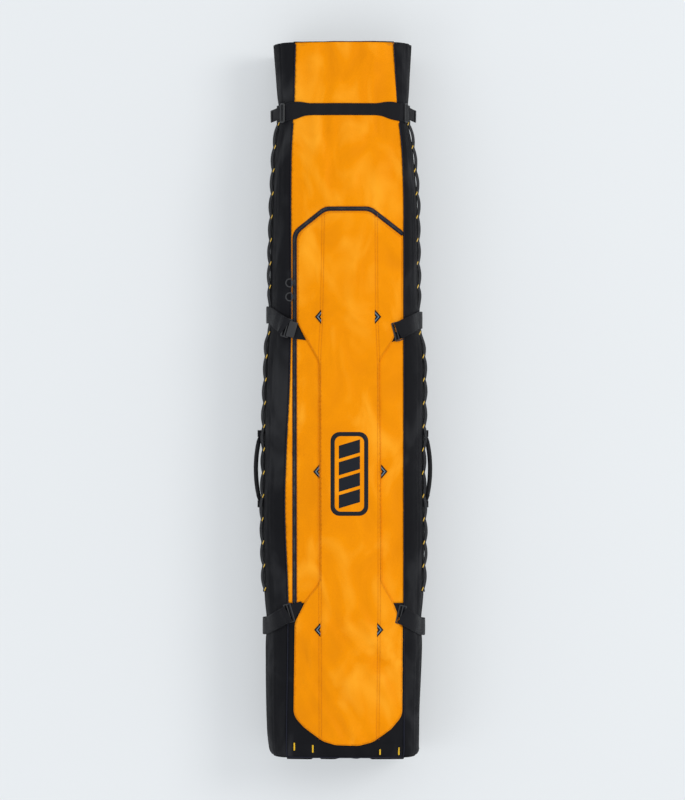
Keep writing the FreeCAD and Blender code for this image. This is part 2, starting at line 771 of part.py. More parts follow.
def build_locks_and_tabs():
    locks = {}
    for name, (_, x, y, _, yaw, _) in STRAPS.items():
        placement = flat_placement(x, y, lock_bottom(name), yaw)
        locks[name] = ladder_lock("buckle_" + name, placement)
    keep(locks["upper_left"])
    keep(locks["upper_right"])
    group("base_buckles", [locks["lower_left"], locks["lower_right"]])
    free_shape("lid_tabs", [tab("upper_left"), tab("upper_right")])
    free_shape("base_tabs", [tab("lower_left"), tab("lower_right")])


def build_hook():
    """Hook plate of the upper left strap: a plate over the lock's bar and a lip into its slot."""
    label = "hook_upper_left"
    body = new_body(label)
    plate = new_sketch(body, label + "_plate")
    width = "dims.strap_width - dims.hook_margin"
    sketch_rectangle(plate, "dims.hook_length", width, "0", "-(%s) / 2" % width)
    padded(body, plate, "dims.hook_thickness")
    lip = new_sketch(body, label + "_lip")
    sketch_rectangle(lip, "dims.hook_lip", width, "0", "-(%s) / 2" % width)
    drop = padded(body, lip, "dims.hook_drop")
    drop.Reversed = True
    reach = dim("lock_length") / 2 - dim("lock_bar") - dim("hook_lip") - dim("hook_play")
    x, y = beside_lock("upper_left", -reach)
    height = BRIDGE_HEIGHT + dim("lock_thickness") + dim("hook_clearance")
    turn = FreeCAD.Rotation(Vec(0, 0, 1), STRAPS["upper_left"][4])
    body.Placement = FreeCAD.Placement(Vec(x, y, height), turn)
    keep(body)


CINCH_TURN = 0.42  # turn round the side at which the band's locks sit
CINCH_LIFT = 5.5  # the locks clear the waisted side by this much
# Turn and lift of the band between its lock and the front, then the plan places where it bends on
# the front, with how wide it is there: 0 is the narrow middle and 1 the full width.
CINCH_SIDE = ((0.14, 1.6), (0, 1.4))
CINCH_FRONT = ((-126, 1), (-95, 0.5), (-60, 0), (0, 0), (60, 0), (98, 0.5), (136, 1))
# Turn and lift of the webbing sewn to the side below a lock, and of the loose tail over it.
CINCH_ANCHOR = ((4 / 6, 6), (5 / 6, 2.5), (1, 1.6), (1.25, 1.6), (1.5, 1.6), (1.75, 1.6))
CINCH_TAIL = ((4 / 6, 10), (5 / 6, 13), (0.95, 20))
TAIL_DROP = 3  # a tail hangs this much nearer the wheel end than its lock


def build_cinch():
    """Band round the top of the bag, its two locks, the webbing below them and the loose tails."""
    y, wide, narrow = dim("cinch_place"), dim("strap_width"), dim("cinch_middle_width")
    half = (dim("lock_length") - dim("lock_bar")) / 2 / dim("turn_length")
    above = CINCH_LIFT + dim("lock_thickness") + dim("strap_gap")
    bends = ((CINCH_TURN - half, above),) + CINCH_SIDE
    left, right = ([(on_side(side, turn), y, lift, wide) for turn, lift in bends]
                   for side in (-1, 1))
    front = [(on_front(x), y, dim("strap_gap"), narrow + part * (wide - narrow))
             for x, part in CINCH_FRONT]
    free_shape("cinch_strap", ribbon(left + front + right[::-1]))
    locks, anchors, tails = [], [], []
    for side, name in ((-1, "left"), (1, "right")):
        placement = side_placement(side, CINCH_TURN, y, CINCH_LIFT)
        locks.append(ladder_lock("cinch_buckle_" + name, placement))
        start = CINCH_TURN + half
        hug = ((start, above), (start + 0.05, above + 0.4)) + CINCH_ANCHOR
        anchors.append(ribbon([(on_side(side, turn), y, lift, wide - 4) for turn, lift in hug]))
        loose = ((start, above + 2.2), (start + 0.06, above + 2.2)) + CINCH_TAIL
        tails.append(ribbon([(on_side(side, turn), y - TAIL_DROP, lift, dim("tail_width"))
                             for turn, lift in loose]))
    group("cinch_buckles", locks)
    free_shape("cinch_anchors", anchors)
    free_shape("cinch_tails", tails)


BASE_TACKS = ((-129, -920), (-80, -925), (98, -931), (148, -932))


def base_tacks():
    """Four bar tacks across the seam at the foot of the front."""
    tacks = []
    for x, y in BASE_TACKS:
        half, reach = dim("tack_width") / 2, dim("tack_length")
        top = max(front_height(x + i * half, y + j * reach) for i in (-1, 1) for j in (-1, 0, 1))
        low = top + dim("tack_gap")
        tacks.append(box_between((x - half, y - reach, low),
                                 (x + half, y + reach, low + dim("tack_height"))))
    return tacks


def daisy_places():
    top, pitch = dim("daisy_top"), dim("daisy_pitch")
    return [top - i * pitch for i in range(int(dim("daisy_loops")) + 1)]


def crossed_by_strap(y):
    """Whether an upper side strap covers the daisy chain at a place along the bag."""
    ends = [STRAPS[name][5] for name in ("upper_left", "upper_right")]
    return any(abs(y - place) < dim("daisy_strap_clearance") for place in ends)


DAISY_STEPS = 6  # straight lengths that make up one standing loop of the chain


def daisy_runs():
    """Unbroken lengths of the chain, each a list of (place along the bag, lift)."""
    places = daisy_places()
    runs = [[]]
    for high, low in zip(places, places[1:]):
        if crossed_by_strap((high + low) / 2):
            runs.append([])
            continue
        for i in range(1 if runs[-1] else 0, DAISY_STEPS + 1):
            lift = dim("daisy_gap") + dim("daisy_bulge") * math.sin(math.pi * i / DAISY_STEPS)
            runs[-1].append((high + (low - high) * i / DAISY_STEPS, lift))
    return [run for run in runs if run]


def build_daisy_chains():
    """Webbing sewn down every pitch along each side, standing off between the bar tacks."""
    reach = dim("daisy_width") / 2 / dim("daisy_turn_length")
    turns = [dim("daisy_turn") + part * reach for part in (-1, 0, 1)]
    length, width, high = dim("tack_length"), dim("tack_width"), dim("tack_height")
    tacks, solids = base_tacks(), []
    for side in (-1, 1):
        for run in daisy_runs():
            solids.append(grid_solid(*[[[side_point(side, turn, y, lift + extra)
                                         for turn in turns] for y, lift in run]
                                       for extra in (0, dim("webbing"))]))
            for y, _ in run[::DAISY_STEPS]:
                tack = Part.makeBox(length, width, high, Vec(-length / 2, -width / 2, 0))
                lift = dim("daisy_gap") + dim("webbing") + dim("tack_lift")
                tack.Placement = side_placement(side, dim("daisy_turn") - reach / 2, y, lift)
                tacks.append(tack)
    free_shape("daisy_chains", solids)
    free_shape("bar_tacks", tacks)


# ---------------------------------------------------------------- sliders and pulls


def slider_frame(place):
    """Placement of a slider on the zipper: its Z stands square on the front fabric."""
    x = dim("zip_left")
    slope = math.degrees(math.atan((front_height(x + 1, place) - front_height(x - 1, place)) / 2))
    return flat_placement(x, place, front_height(x, place), 0, -slope)


def build_sliders():
    for name in ("upper", "lower"):
        label = "zipper_slider_" + name
        place = dim("slider_" + name)
        body = new_body(label)
        plate = new_sketch(body, label + "_plate")
        sketch_rectangle(plate, "dims.slider_width", "dims.slider_length",
                         "-dims.slider_width / 2", "-dims.slider_length / 2")
        plate.setExpression("AttachmentOffset.Base.z", "dims.slider_rise")
        padded(body, plate, "dims.slider_thickness")
        lugs = new_sketch(body, label + "_lugs")
        lugs.setExpression("AttachmentOffset.Base.z", "dims.slider_rise")
        for bottom in ("-dims.slider_length / 2", "dims.slider_length / 2 - dims.lug_length"):
            sketch_rectangle(lugs, "dims.lug_width", "dims.lug_length",
                             "-dims.pin_side - dims.lug_width / 2", bottom)
        padded(body, lugs, "dims.pin_height + dims.pin_radius + dims.lug_wall - dims.slider_rise")
        pin_sketch = new_sketch(body, label + "_pin", "XZ_Plane")
        pin_sketch.addGeometry(Part.Circle(Vec(0, 0, 0), Vec(0, 0, 1), 1), False)
        for kind, expression in (("DistanceX", "-dims.pin_side"), ("DistanceY", "dims.pin_height")):
            index = pin_sketch.addConstraint(Sketcher.Constraint(kind, -1, 1, 0, 3, 1))
            pin_sketch.setExpression("Constraints[%d]" % index, expression)
        index = pin_sketch.addConstraint(Sketcher.Constraint("Radius", 0, 1))
        pin_sketch.setExpression("Constraints[%d]" % index, "dims.pin_radius")
        padded(body, pin_sketch, "dims.slider_length - dims.pin_recess", both_ways=True)
        body.Placement = slider_frame(place)
        keep(body)
        build_pull(name, place)


def pin_point(place):
    """Middle of the pin that a pull turns on."""
    return slider_frame(place).multVec(Vec(-dim("pin_side"), 0, dim("pin_height")))


def build_pull(name, place):
    """D-shaped pull lying to the left of its slider, with an eye round the pin."""
    pin = pin_point(place)
    thick, wire = dim("pull_thickness"), dim("pull_wire")
    eye_length = dim("slider_length") - 2 * dim("lug_length") - dim("eye_play")
    radius = dim("pull_width") / 2
    reach = dim("pull_length") - radius

    def dee(grow):
        """D outline: a half circle on two straight sides."""
        r = radius - grow
        left, right = -reach, -dim("pull_root") - grow * dim("pull_root_slope")
        points = [Vec(right, -r, 0), Vec(right, r, 0), Vec(left, r, 0)]
        arc = Part.Arc(Vec(left, r, 0), Vec(left - r, 0, 0), Vec(left, -r, 0)).toShape()
        lines = [Part.makeLine(points[0], points[1]), Part.makeLine(points[1], points[2])]
        return Part.Face(Part.Wire(lines + [arc, Part.makeLine(Vec(left, -r, 0), points[0])]))

    ring = dee(0).cut(dee(wire)).extrude(Vec(0, 0, thick))
    ring.translate(Vec(0, 0, -thick / 2))
    eye = Part.makeCylinder(thick / 2 + dim("eye_wall"), eye_length, Vec(0, -eye_length / 2, 0),
                            Vec(0, 1, 0))
    stub = Part.makeBox(wire, eye_length, thick, Vec(-wire, -eye_length / 2, -thick / 2))
    hole = Part.makeCylinder(dim("pin_radius") + dim("pull_slack"), 2 * radius,
                             Vec(0, -radius, 0), Vec(0, 1, 0))
    shape = ring.fuse([stub, eye]).cut(hole).removeSplitter()
    free_shape("zipper_pull_" + name, shape, FreeCAD.Placement(pin, FreeCAD.Rotation()))


# ---------------------------------------------------------------- handles


def handle_axis(side):
    """Place of a side handle's turning line across the bag, the same on both sides."""
    span = dim("handle_span") / 2 + dim("handle_end")
    widest = max(max(section(dim("handle_centre") + end)[:2]) for end in (-span, 0, span))
    return side * (widest + dim("handle_standoff"))


def build_side_handles():
    half, rise = "dims.handle_span / 2", "dims.handle_rise"
    radius = "((%s) ^ 2 + %s ^ 2) / (2 * %s)" % (half, rise, rise)
    span, height = dim("handle_span") / 2, dim("handle_rise")
    big = (span ** 2 + height ** 2) / (2 * height)
    sweep = math.degrees(math.asin(span / big))
    blocks = []
    for side, name in ((-1, "left"), (1, "right")):
        label = "side_handle_" + name
        arc = primitive("Torus", label + "_arc", Radius1=radius, Radius2="dims.handle_radius")
        arc.Angle3 = 2 * sweep
        arc.setExpression("Angle3", "2 * asin(%s / (%s))" % (half, radius))
        start = -sweep if side > 0 else 180 - sweep
        arc.Placement = FreeCAD.Placement(Vec(side * (height - big), 0, 0),
                                          FreeCAD.Rotation(Vec(0, 0, 1), start))
        pins = []
        for end in (-1, 1):
            pin = primitive("Cylinder", label + ("_pin_low" if end < 0 else "_pin_high"),
                            Radius="dims.handle_end_radius",
                            Height="dims.handle_end + dims.handle_pin_overlap")
            pin.Placement = FreeCAD.Placement(Vec(0, end * (span - dim("handle_pin_overlap")), 0),
                                              FreeCAD.Rotation(Vec(1, 0, 0), -90 * end))
            pins.append(pin)
        first = fuse(label + "_half", arc, pins[0])
        whole = fuse(label, first, pins[1])
        whole.Label = label
        x = handle_axis(side)
        whole.Placement = FreeCAD.Placement(
            Vec(x, dim("handle_centre"), dim("handle_height")), FreeCAD.Rotation())
        keep(whole)
        depth, length, high = dim("anchor_depth"), dim("anchor_length"), dim("anchor_height")
        for end in (-1, 1):
            y = dim("handle_centre") + end * (span + dim("anchor_gap") + length / 2)
            block = Part.makeBox(depth, length, high,
                                 Vec(x - depth / 2, y - length / 2, dim("handle_height") - high / 2))
            bore = Part.makeCylinder(dim("handle_end_radius") + dim("anchor_play"), 2 * length,
                                     Vec(x, y - length, dim("handle_height")), Vec(0, 1, 0))
            lengthwise = [e for e in block.Edges if abs(e.tangentAt(0).y) > 0.9]
            blocks.append(block.makeFillet(dim("anchor_round"), lengthwise).cut(bore))
    free_shape("handle_anchors", blocks)


def top_panel_place(z):
    """Place along the bag of the leaning top end, at a height."""
    lean = dim("end_lean") / (dim("end_reference") - dim("back_height"))
    return dim("crest_place") + lean * (z - dim("end_reference"))


def top_lean():
    return math.degrees(math.atan(dim("end_lean") / (dim("end_reference") - dim("back_height"))))


def build_top_handle():
    """Haul handle on the top end: a webbing loop hanging from two sewn anchors. Its upper ends are
    rolled round the line that it turns on, in the middle of its thickness."""
    label = "top_haul_handle"
    body = new_body(label + "_loop")
    outline = new_sketch(body, label + "_outline")
    sketch_rectangle(outline, "dims.grab_width", "dims.grab_drop", "-dims.grab_width / 2",
                     "-dims.grab_drop")
    padded(body, outline, "dims.grab_thickness", both_ways=True)
    inner = new_sketch(body, label + "_inner")
    sketch_rectangle(inner, "dims.grab_width - 2 * dims.grab_webbing",
                     "dims.grab_drop - dims.grab_webbing", "dims.grab_webbing - dims.grab_width / 2",
                     "dims.grab_webbing - dims.grab_drop")
    pocket = body.newObject("PartDesign::Pocket", label + "_pocket")
    pocket.Profile = inner
    pocket.Type = "ThroughAll"
    pocket.Midplane = True
    rolls = []
    for end, name in ((-1, "left"), (1, "right")):
        roll = primitive("Cylinder", label + "_roll_" + name, Radius="dims.grab_thickness / 2",
                         Height="dims.grab_webbing")
        start = -dim("grab_width") / 2 if end < 0 else dim("grab_width") / 2 - dim("grab_webbing")
        roll.Placement = FreeCAD.Placement(Vec(start, 0, 0), FreeCAD.Rotation(Vec(0, 1, 0), 90))
        rolls.append(roll)
    whole = fuse(label, fuse(label + "_half", body, rolls[0]), rolls[1])
    whole.Label = label
    height = dim("grab_height")
    turn = FreeCAD.Rotation(Vec(1, 0, 0), 90 + top_lean())
    turn = FreeCAD.Rotation(Vec(0, 0, 1), 180).multiply(turn)
    out = top_panel_place(height) + dim("grab_gap") + dim("grab_thickness") / 2
    whole.Placement = FreeCAD.Placement(Vec(0, out, height), turn)
    keep(whole)
    anchors = []
    for end in (-1, 1):
        x = end * (dim("grab_width") - dim("grab_webbing")) / 2
        box = Part.makeBox(dim("grab_webbing"), dim("grab_anchor"), dim("grab_thickness"),
                           Vec(-dim("grab_webbing") / 2, dim("grab_clear"),
                               -dim("grab_thickness") / 2 - dim("grab_anchor_sink")))
        box.Placement = FreeCAD.Placement(Vec(x, out, height), turn)
        anchors.append(box)
    free_shape("top_handle_anchors", anchors)


# ---------------------------------------------------------------- wheels and rails


def build_wheels():
    axle_y = dim("heel_place") + dim("wheel_inset")
    axles = []
    for name, x in wheel_places().items():
        across = FreeCAD.Rotation(Vec(0, 1, 0), 90)

        def at(offset):
            return FreeCAD.Placement(Vec(x + offset, axle_y, dim("wheel_height")), across)

        tyre = primitive("Cylinder", name + "_tyre_disc", Radius="dims.wheel_radius",
                         Height="dims.wheel_width")
        room = primitive("Cylinder", name + "_tyre_room", Radius="dims.hub_radius",
                         Height="dims.wheel_width")
        ring = cut(name + "_tyre_ring", tyre, room)
        doc.recompute()
        soft = doc.addObject("Part::Fillet", "tyre_" + name)
        soft.Base = ring
        bore_rim = 2 * math.pi * dim("hub_radius")
        rims = [i for i, e in enumerate(ring.Shape.Edges, start=1) if e.Length > bore_rim + 1]
        soft.Edges = [(i, dim("tyre_round"), dim("tyre_round")) for i in rims]
        soft.Label = "tyre_" + name
        soft.Placement = at(-dim("wheel_width") / 2)
        keep(soft)

        disc = primitive("Cylinder", name + "_hub_disc", Radius="dims.hub_radius",
                         Height="dims.hub_width")
        bore = primitive("Cylinder", name + "_hub_bore", Radius="dims.axle_radius + dims.hub_bore_play",
                         Height="dims.hub_width")
        drilled = cut(name + "_hub_drilled", disc, bore)
        seat_depth = "dims.bearing_width + dims.bearing_inset"
        low = primitive("Cylinder", name + "_seat_low", Radius="dims.bearing_radius",
                        Height=seat_depth)
        high = primitive("Cylinder", name + "_seat_high", Radius="dims.bearing_radius",
                         Height=seat_depth)
        high.setExpression("Placement.Base.z",
                           "dims.hub_width - dims.bearing_width - dims.bearing_inset")
        hub = cut("hub_" + name, cut(name + "_hub_seated", drilled, low), high)
        hub.Label = "hub_" + name
        hub.Placement = at(-dim("hub_width") / 2)
        keep(hub)

        bearings = []
        for end in (-1, 1):
            outer = Part.makeCylinder(dim("bearing_radius"), dim("bearing_width"))
            hole = Part.makeCylinder(dim("axle_radius"), dim("bearing_width"))
            bearing = outer.cut(hole)
            inside = dim("hub_width") / 2 - dim("bearing_inset") - dim("bearing_width")
            bearing.Placement = at(inside if end > 0 else -inside - dim("bearing_width"))
            bearings.append(bearing)
        free_shape("bearings_" + name, bearings)

        pin = primitive("Cylinder", name + "_axle_pin",
                        Radius="dims.axle_radius - dims.axle_play", Height="dims.axle_length")
        head = primitive("Cylinder", name + "_axle_head", Radius="dims.axle_head_radius",
                         Height="dims.axle_head")
        side = 1 if x > 0 else -1
        if side < 0:
            head.setExpression("Placement.Base.z", "dims.axle_length")
        else:
            head.setExpression("Placement.Base.z", "-dims.axle_head")
        axle = fuse("axle_" + name, pin, head)
        axle.Placement = at(-dim("axle_length") / 2)
        axles.append(axle)
    group("axles", axles)


def screw_places():
    count, pitch = int(dim("screw_count")), dim("screw_pitch")
    first = dim("rail_centre") - pitch * (count - 1) / 2
    return [first + i * pitch for i in range(count)]


def build_rails():
    """Two skid rails under the back, screwed through the back panel and the frame board."""
    length, width = dim("rail_length"), dim("rail_width")
    low = dim("rail_centre") - length / 2
    rails, screws = [], []
    for x in (-dim("rail_side"), dim("rail_side")):
        rail = box_between((x - width / 2, low, 0), (x + width / 2, low + length,
                                                     dim("back_height")))
        ends = [e for e in rail.Edges if abs(e.tangentAt(0).x) > 0.9 and e.CenterOfMass.z < 0.1]
        rail = rail.makeChamfer(dim("rail_chamfer"), ends)
        for y in screw_places():
            foot = Vec(x, y, dim("screw_sink"))
            shank = Part.makeCylinder(dim("screw_radius"), dim("screw_length"), foot)
            head = Part.makeCylinder(dim("screw_head_radius"), dim("screw_head"), foot)
            screws.append(head.fuse(shank))
        rails.append(rail)
    free_shape("skid_rails", [rail.cut(screws) for rail in rails])
    free_shape("rail_screws", screws)
    return screws


def build_inside(holes):
    """Frame board, foam, end pads and the two straps that hold the skis."""
    low = dim("back_height") + dim("gusset_thickness")
    start, length, width = dim("board_start"), dim("board_length"), dim("board_width")
    top = low + dim("board_thickness")
    board = box_between((-width / 2, start, low), (width / 2, start + length, top))
    free_shape("frame_board", board.cut(holes))
    foam = primitive("Box", "back_foam", Length="dims.board_width", Width="dims.board_length",
                     Height="dims.foam_thickness")
    foam_low = top + dim("foam_gap")
    foam.Placement = FreeCAD.Placement(Vec(-width / 2, start, foam_low), FreeCAD.Rotation())
    keep(foam)
    heel = primitive("Box", "heel_pad", Length="dims.end_pad_width", Width="dims.end_pad",
                     Height="dims.heel_pad_height")
    heel.Placement = FreeCAD.Placement(
        Vec(-dim("end_pad_width") / 2,
            dim("heel_place") + dim("end_thickness") + dim("heel_pad_gap"),
            dim("heel_pad_low")), FreeCAD.Rotation())
    crest = primitive("Box", "top_pad", Length="dims.end_pad_width", Width="dims.end_pad",
                      Height="dims.top_pad_height")
    crest.Placement = FreeCAD.Placement(
        Vec(-dim("end_pad_width") / 2, dim("top_pad_place"), dim("top_pad_low")),
        FreeCAD.Rotation())
    group("end_pads", [heel, crest])
    above = foam_low + dim("foam_thickness") + dim("tie_gap")
    straps, buckles = [], []
    half = dim("tie_width") / 2
    for y in (-dim("tie_place"), dim("tie_place")):
        straps.append(box_between((-dim("tie_length") / 2, y - half, above),
                                  (dim("tie_length") / 2, y + half, above + dim("webbing"))))
        buckle = box_between(
            (-dim("tie_buckle_length") / 2, y - dim("tie_buckle_width") / 2,
             above + dim("webbing") + dim("tie_gap")),
            (dim("tie_buckle_length") / 2, y + dim("tie_buckle_width") / 2,
             above + dim("webbing") + dim("tie_buckle_height")))
        buckles.append(buckle.makeFillet(dim("tie_buckle_round"), buckle.Edges))
    free_shape("ski_straps", straps)
    free_shape("ski_strap_buckles", buckles)


# ---------------------------------------------------------------- build


rail_holes = build_rails()
build_shell(rail_holes)
build_front()
build_loops()
build_piping()
build_side_straps()
build_locks_and_tabs()
build_hook()
build_cinch()
build_daisy_chains()
build_sliders()
build_side_handles()
build_top_handle()
build_wheels()
build_inside(rail_holes)

doc.recompute()
for feature in doc.Objects:
    if "Invalid" in feature.State or "Error" in feature.State:
        raise SystemExit("object %s failed: %s" % (feature.Label, feature.State))
os.makedirs("parts", exist_ok=True)
for old in os.listdir("parts"):
    os.remove(os.path.join("parts", old))
for part in parts:
    shape = part.Shape
    if shape.isNull() or not shape.isValid() or shape.Volume <= 0:
        raise SystemExit("sub-part %s has a bad shape" % part.Label)
    shape.exportStep("parts/%s.step" % part.Label)
    print(part.Label, len(shape.Solids), round(shape.Volume / 1000, 1))
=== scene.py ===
"""Looks of a wheeled ski bag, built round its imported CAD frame.

The bag lies on its back: +Z is the front with the lid, +Y the narrow top end, -Y the wheel end.
Plan and section numbers are in millimetres; meshes are made in metres.
"""

import json
import math

import bmesh
import bpy
import numpy as np
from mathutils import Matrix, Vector, geometry, noise


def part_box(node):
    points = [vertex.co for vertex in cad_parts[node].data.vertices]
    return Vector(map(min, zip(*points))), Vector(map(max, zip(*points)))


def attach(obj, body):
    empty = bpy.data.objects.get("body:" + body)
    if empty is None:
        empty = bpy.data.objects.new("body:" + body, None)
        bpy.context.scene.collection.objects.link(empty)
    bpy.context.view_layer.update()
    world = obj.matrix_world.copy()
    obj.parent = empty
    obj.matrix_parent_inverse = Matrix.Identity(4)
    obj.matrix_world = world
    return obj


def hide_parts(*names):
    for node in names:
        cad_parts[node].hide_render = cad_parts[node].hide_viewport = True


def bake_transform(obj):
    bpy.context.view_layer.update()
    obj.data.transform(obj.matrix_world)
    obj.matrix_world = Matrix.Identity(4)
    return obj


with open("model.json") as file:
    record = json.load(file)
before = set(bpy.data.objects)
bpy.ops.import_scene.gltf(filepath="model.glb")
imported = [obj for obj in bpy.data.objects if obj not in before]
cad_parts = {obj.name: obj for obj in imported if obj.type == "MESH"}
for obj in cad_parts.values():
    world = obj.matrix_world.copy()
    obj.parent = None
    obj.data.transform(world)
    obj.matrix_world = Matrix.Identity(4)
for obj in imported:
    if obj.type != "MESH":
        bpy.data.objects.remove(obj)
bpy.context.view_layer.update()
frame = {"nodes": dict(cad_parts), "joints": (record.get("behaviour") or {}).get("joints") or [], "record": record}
MM = 0.001

# ---- the bag's shape, in millimetres

# Place along the bag, reach of the left and right sides, front seams left and right, seam height.
STATIONS = (
    (-950, 186, 194, 148, 160, 226),
    (-925, 198, 203, 150, 162, 232),
    (-574, 207, 212, 146, 162, 232),
    (-277, 216, 217, 155, 162, 232),
    (94, 206, 216, 141, 162, 232),
    (242, 196, 202, 138, 162, 232),
    (505, 190, 198, 139, 162, 232),
    (650, 184, 187, 138, 158, 220),
    (762, 172, 174, 132, 147, 198),
    (950, 184, 180, 127, 135, 194),
)
# More places where only the reach is given, which round the wheel end's corners tightly.
HEEL_CORNER = ((-943, 193, 201), (-934, 197, 204))
MID_HEIGHT, BACK_HALF, BACK_HEIGHT = 105, 160, 8
CROWN, CROWN_CENTRE, CROWN_HALF = 14, 11.5, 150.5
HEEL, CREST = -950, 950
END_LEAN, END_REFERENCE = 25 / 202, 210
HEEL_CHAMFER = 50
CINCH, HANDLE_PLACE = 762, -185

ZIP_BOTTOM = -539
ZIP_LINE = ((-129, ZIP_BOTTOM), (-129, 442), (-48, 506), (72, 506), (162, 437), (200, 407.9))
ZIP_RADIUS = 40
TAPE, FRAME_TAPE = 5.4, 4.2

OVERLAY_FOOT = ((-121, 203), (-63, 98), (-61, -484), (-98, -531), (-128, -592), (-131, -838),
                (-104, -868), (-54, -905), (-20, -915), (40, -917), (78, -908), (128, -873),
                (157, -838), (158, -600), (129, -529), (103, -484), (95, 101), (129, 152),
                (156.5, 212))
# The two long seams of the overlay: places along the bag and across it.
SEAM_LEFT = ((-915, -60), (-484, -61), (98, -62), (219, -57), (506, -52))
SEAM_RIGHT = ((-915, 92), (-484, 96), (101, 94), (219, 90), (506, 88))


def monotone(xs, ys):
    """Smooth monotone curve through points."""
    xs, ys = np.array(xs, float), np.array(ys, float)
    step = np.diff(xs)
    slope = np.diff(ys) / step
    tangent = np.zeros(len(xs))
    tangent[0], tangent[-1] = slope[0], slope[-1]
    for i in range(1, len(xs) - 1):
        if slope[i - 1] * slope[i] > 0:
            one, two = 2 * step[i] + step[i - 1], step[i] + 2 * step[i - 1]
            tangent[i] = (one + two) / (one / slope[i - 1] + two / slope[i])

    def curve(x):
        x = np.clip(np.asarray(x, float), xs[0], xs[-1])
        i = np.clip(np.searchsorted(xs, x, side="right") - 1, 0, len(step) - 1)
        part = (x - xs[i]) / step[i]
        rest = 1 - part
        return (ys[i] * (1 + 2 * part) * rest**2 + tangent[i] * step[i] * part * rest**2
                + ys[i + 1] * (3 - 2 * part) * part**2 - tangent[i + 1] * step[i] * part**2 * rest)

    return curve


PLACES = [row[0] for row in STATIONS]
SEAM_X_LEFT, SEAM_X_RIGHT, SEAM_Z = (
    monotone(PLACES, [row[column] for row in STATIONS]) for column in range(3, 6))
SIDE_ROWS = sorted([row[:3] for row in STATIONS] + list(HEEL_CORNER))
REACH = {side: monotone([row[0] for row in SIDE_ROWS], [row[column] for row in SIDE_ROWS])
         for side, column in ((-1, 1), (1, 2))}
SEAM_X = {-1: SEAM_X_LEFT, 1: SEAM_X_RIGHT}
seam_left = monotone(*zip(*SEAM_LEFT))
seam_right = monotone(*zip(*SEAM_RIGHT))


def bell(distance, width):
    return np.exp(-((distance / width) ** 2))


def ramp(value, start, end):
    """Smooth step from 0 at start to 1 at end."""
    part = np.clip((value - start) / (end - start), 0, 1)
    return part * part * (3 - 2 * part)


def rough(*coords):
    """Smooth noise in -1 to 1, evaluated for arrays of coordinates."""
    arrays = np.broadcast_arrays(*[np.asarray(c, float) for c in coords])
    flat = [noise.noise(Vector(point)) for point in zip(*(a.ravel() for a in arrays))]
    return np.array(flat).reshape(arrays[0].shape)


def front_height(x, y):
    """Height of the front fabric of the CAD frame."""
    away = (x - CROWN_CENTRE) / CROWN_HALF
    return SEAM_Z(y) + CROWN * (1 - away * away)


def front_relief(x, y):
    """Soft waves, puckers and creases of the front cloth, in millimetres. Each part is a height
    and a noise whose divisors are its lengths across and along the bag."""
    across = (x - CROWN_CENTRE) / CROWN_HALF
    hold = np.clip(1 - np.abs(across) ** 5, 0, 1)
    above = ramp(y, 500, 600)
    below = ramp(-y, 480, 640)
    waves = 4.0 * rough(x / 120, y / 200, 1.7) + 3.0 * rough(x / 60, y / 85, 5.1)
    folds = above * (6.0 * rough(x / 42, y / 200, 9.3) + 2.6 * rough(x / 20, y / 120, 2.2))
    slant = below * 7.0 * rough((x + 0.55 * y) / 34, (y - 0.55 * x) / 190, 3.3)
    wing = bell(y - 160, 120) * 4.2 * rough((x * np.sign(x) + 1.1 * y) / 38, (y - x) / 210, 7.7)
    sag = -3.2 * bell(y - CINCH, 30) + above * bell(y - CINCH, 75) * 0.9 * rough(x / 9, y / 90, 4.4)
    seams = -1.1 * (bell(x - seam_left(y), 2.6) + bell(x - seam_right(y), 2.6)) * (y < 500)
    pucker = 0.35 * np.sin(y / 4.1 + 3 * rough(x / 50, y / 70, 6.0)) * (
        bell(x - seam_left(y), 7) + bell(x - seam_right(y), 7))
    return hold * (waves + folds + slant + wing + sag) + seams + pucker


def on_front(x, y, lift=0.0):
    """Points on the front cloth, in metres."""
    x, y = np.broadcast_arrays(np.asarray(x, float), np.asarray(y, float))
    z = front_height(x, y) + front_relief(x, y) + lift
    return np.stack([x, y, z], axis=-1) * MM


def side_relief(side, turn, y):
    """Long creases of a gusset, in millimetres, none at its two seams."""
    hold = np.sin(np.pi * np.clip(turn / 2, 0, 1)) ** 0.6 * ramp(y, HEEL, HEEL + 70)
    creases = 2.4 * rough(turn * 7 + side, y / 330, 2.9) + 1.3 * rough(turn * 15, y / 150, side + 8)
    pull = 2.0 * rough(turn * 4, y / 70, 5 + side) * (
        bell(y - 215, 70) + bell(y + 590, 70) + bell(y - CINCH, 60))
    fold = -1.6 * (bell(turn - 0.36, 0.02) + bell(turn - 0.5, 0.02))
    pressed = np.clip(bell(y - 208, 42) + bell(y + 590, 42) + bell(y - CINCH, 34), 0, 1)
    loose = np.minimum(creases + pull + 1.5, 3.5 - 5.2 * bell(y - HANDLE_PLACE, 150))
    return hold * (loose * (1 - pressed) - 2.6 * pressed) + fold * (1 - pressed)


def on_side(side, turn, y, lift=0.0, relief=True):
    """Points on a side: turn 0 at the front seam, 1 at the widest line, 2 at the back."""
    turn, y = np.broadcast_arrays(np.asarray(turn, float), np.asarray(y, float))
    if relief:
        lift = lift + side_relief(side, turn, y)
    reach, seam = REACH[side](y), SEAM_X[side](y)
    top = front_height(side * seam, y)
    angle = np.radians(90 * turn)
    front = turn <= 1
    x = np.where(front, seam + (reach - seam + lift) * np.sin(angle),
                 BACK_HALF + (reach - BACK_HALF + lift) * np.sin(angle))
    z = np.where(front, MID_HEIGHT + (top - MID_HEIGHT + lift) * np.cos(angle),
                 MID_HEIGHT + (MID_HEIGHT - BACK_HEIGHT + lift) * np.cos(angle))
    return np.stack([side * x, y, z], axis=-1) * MM


# ---- mesh helpers


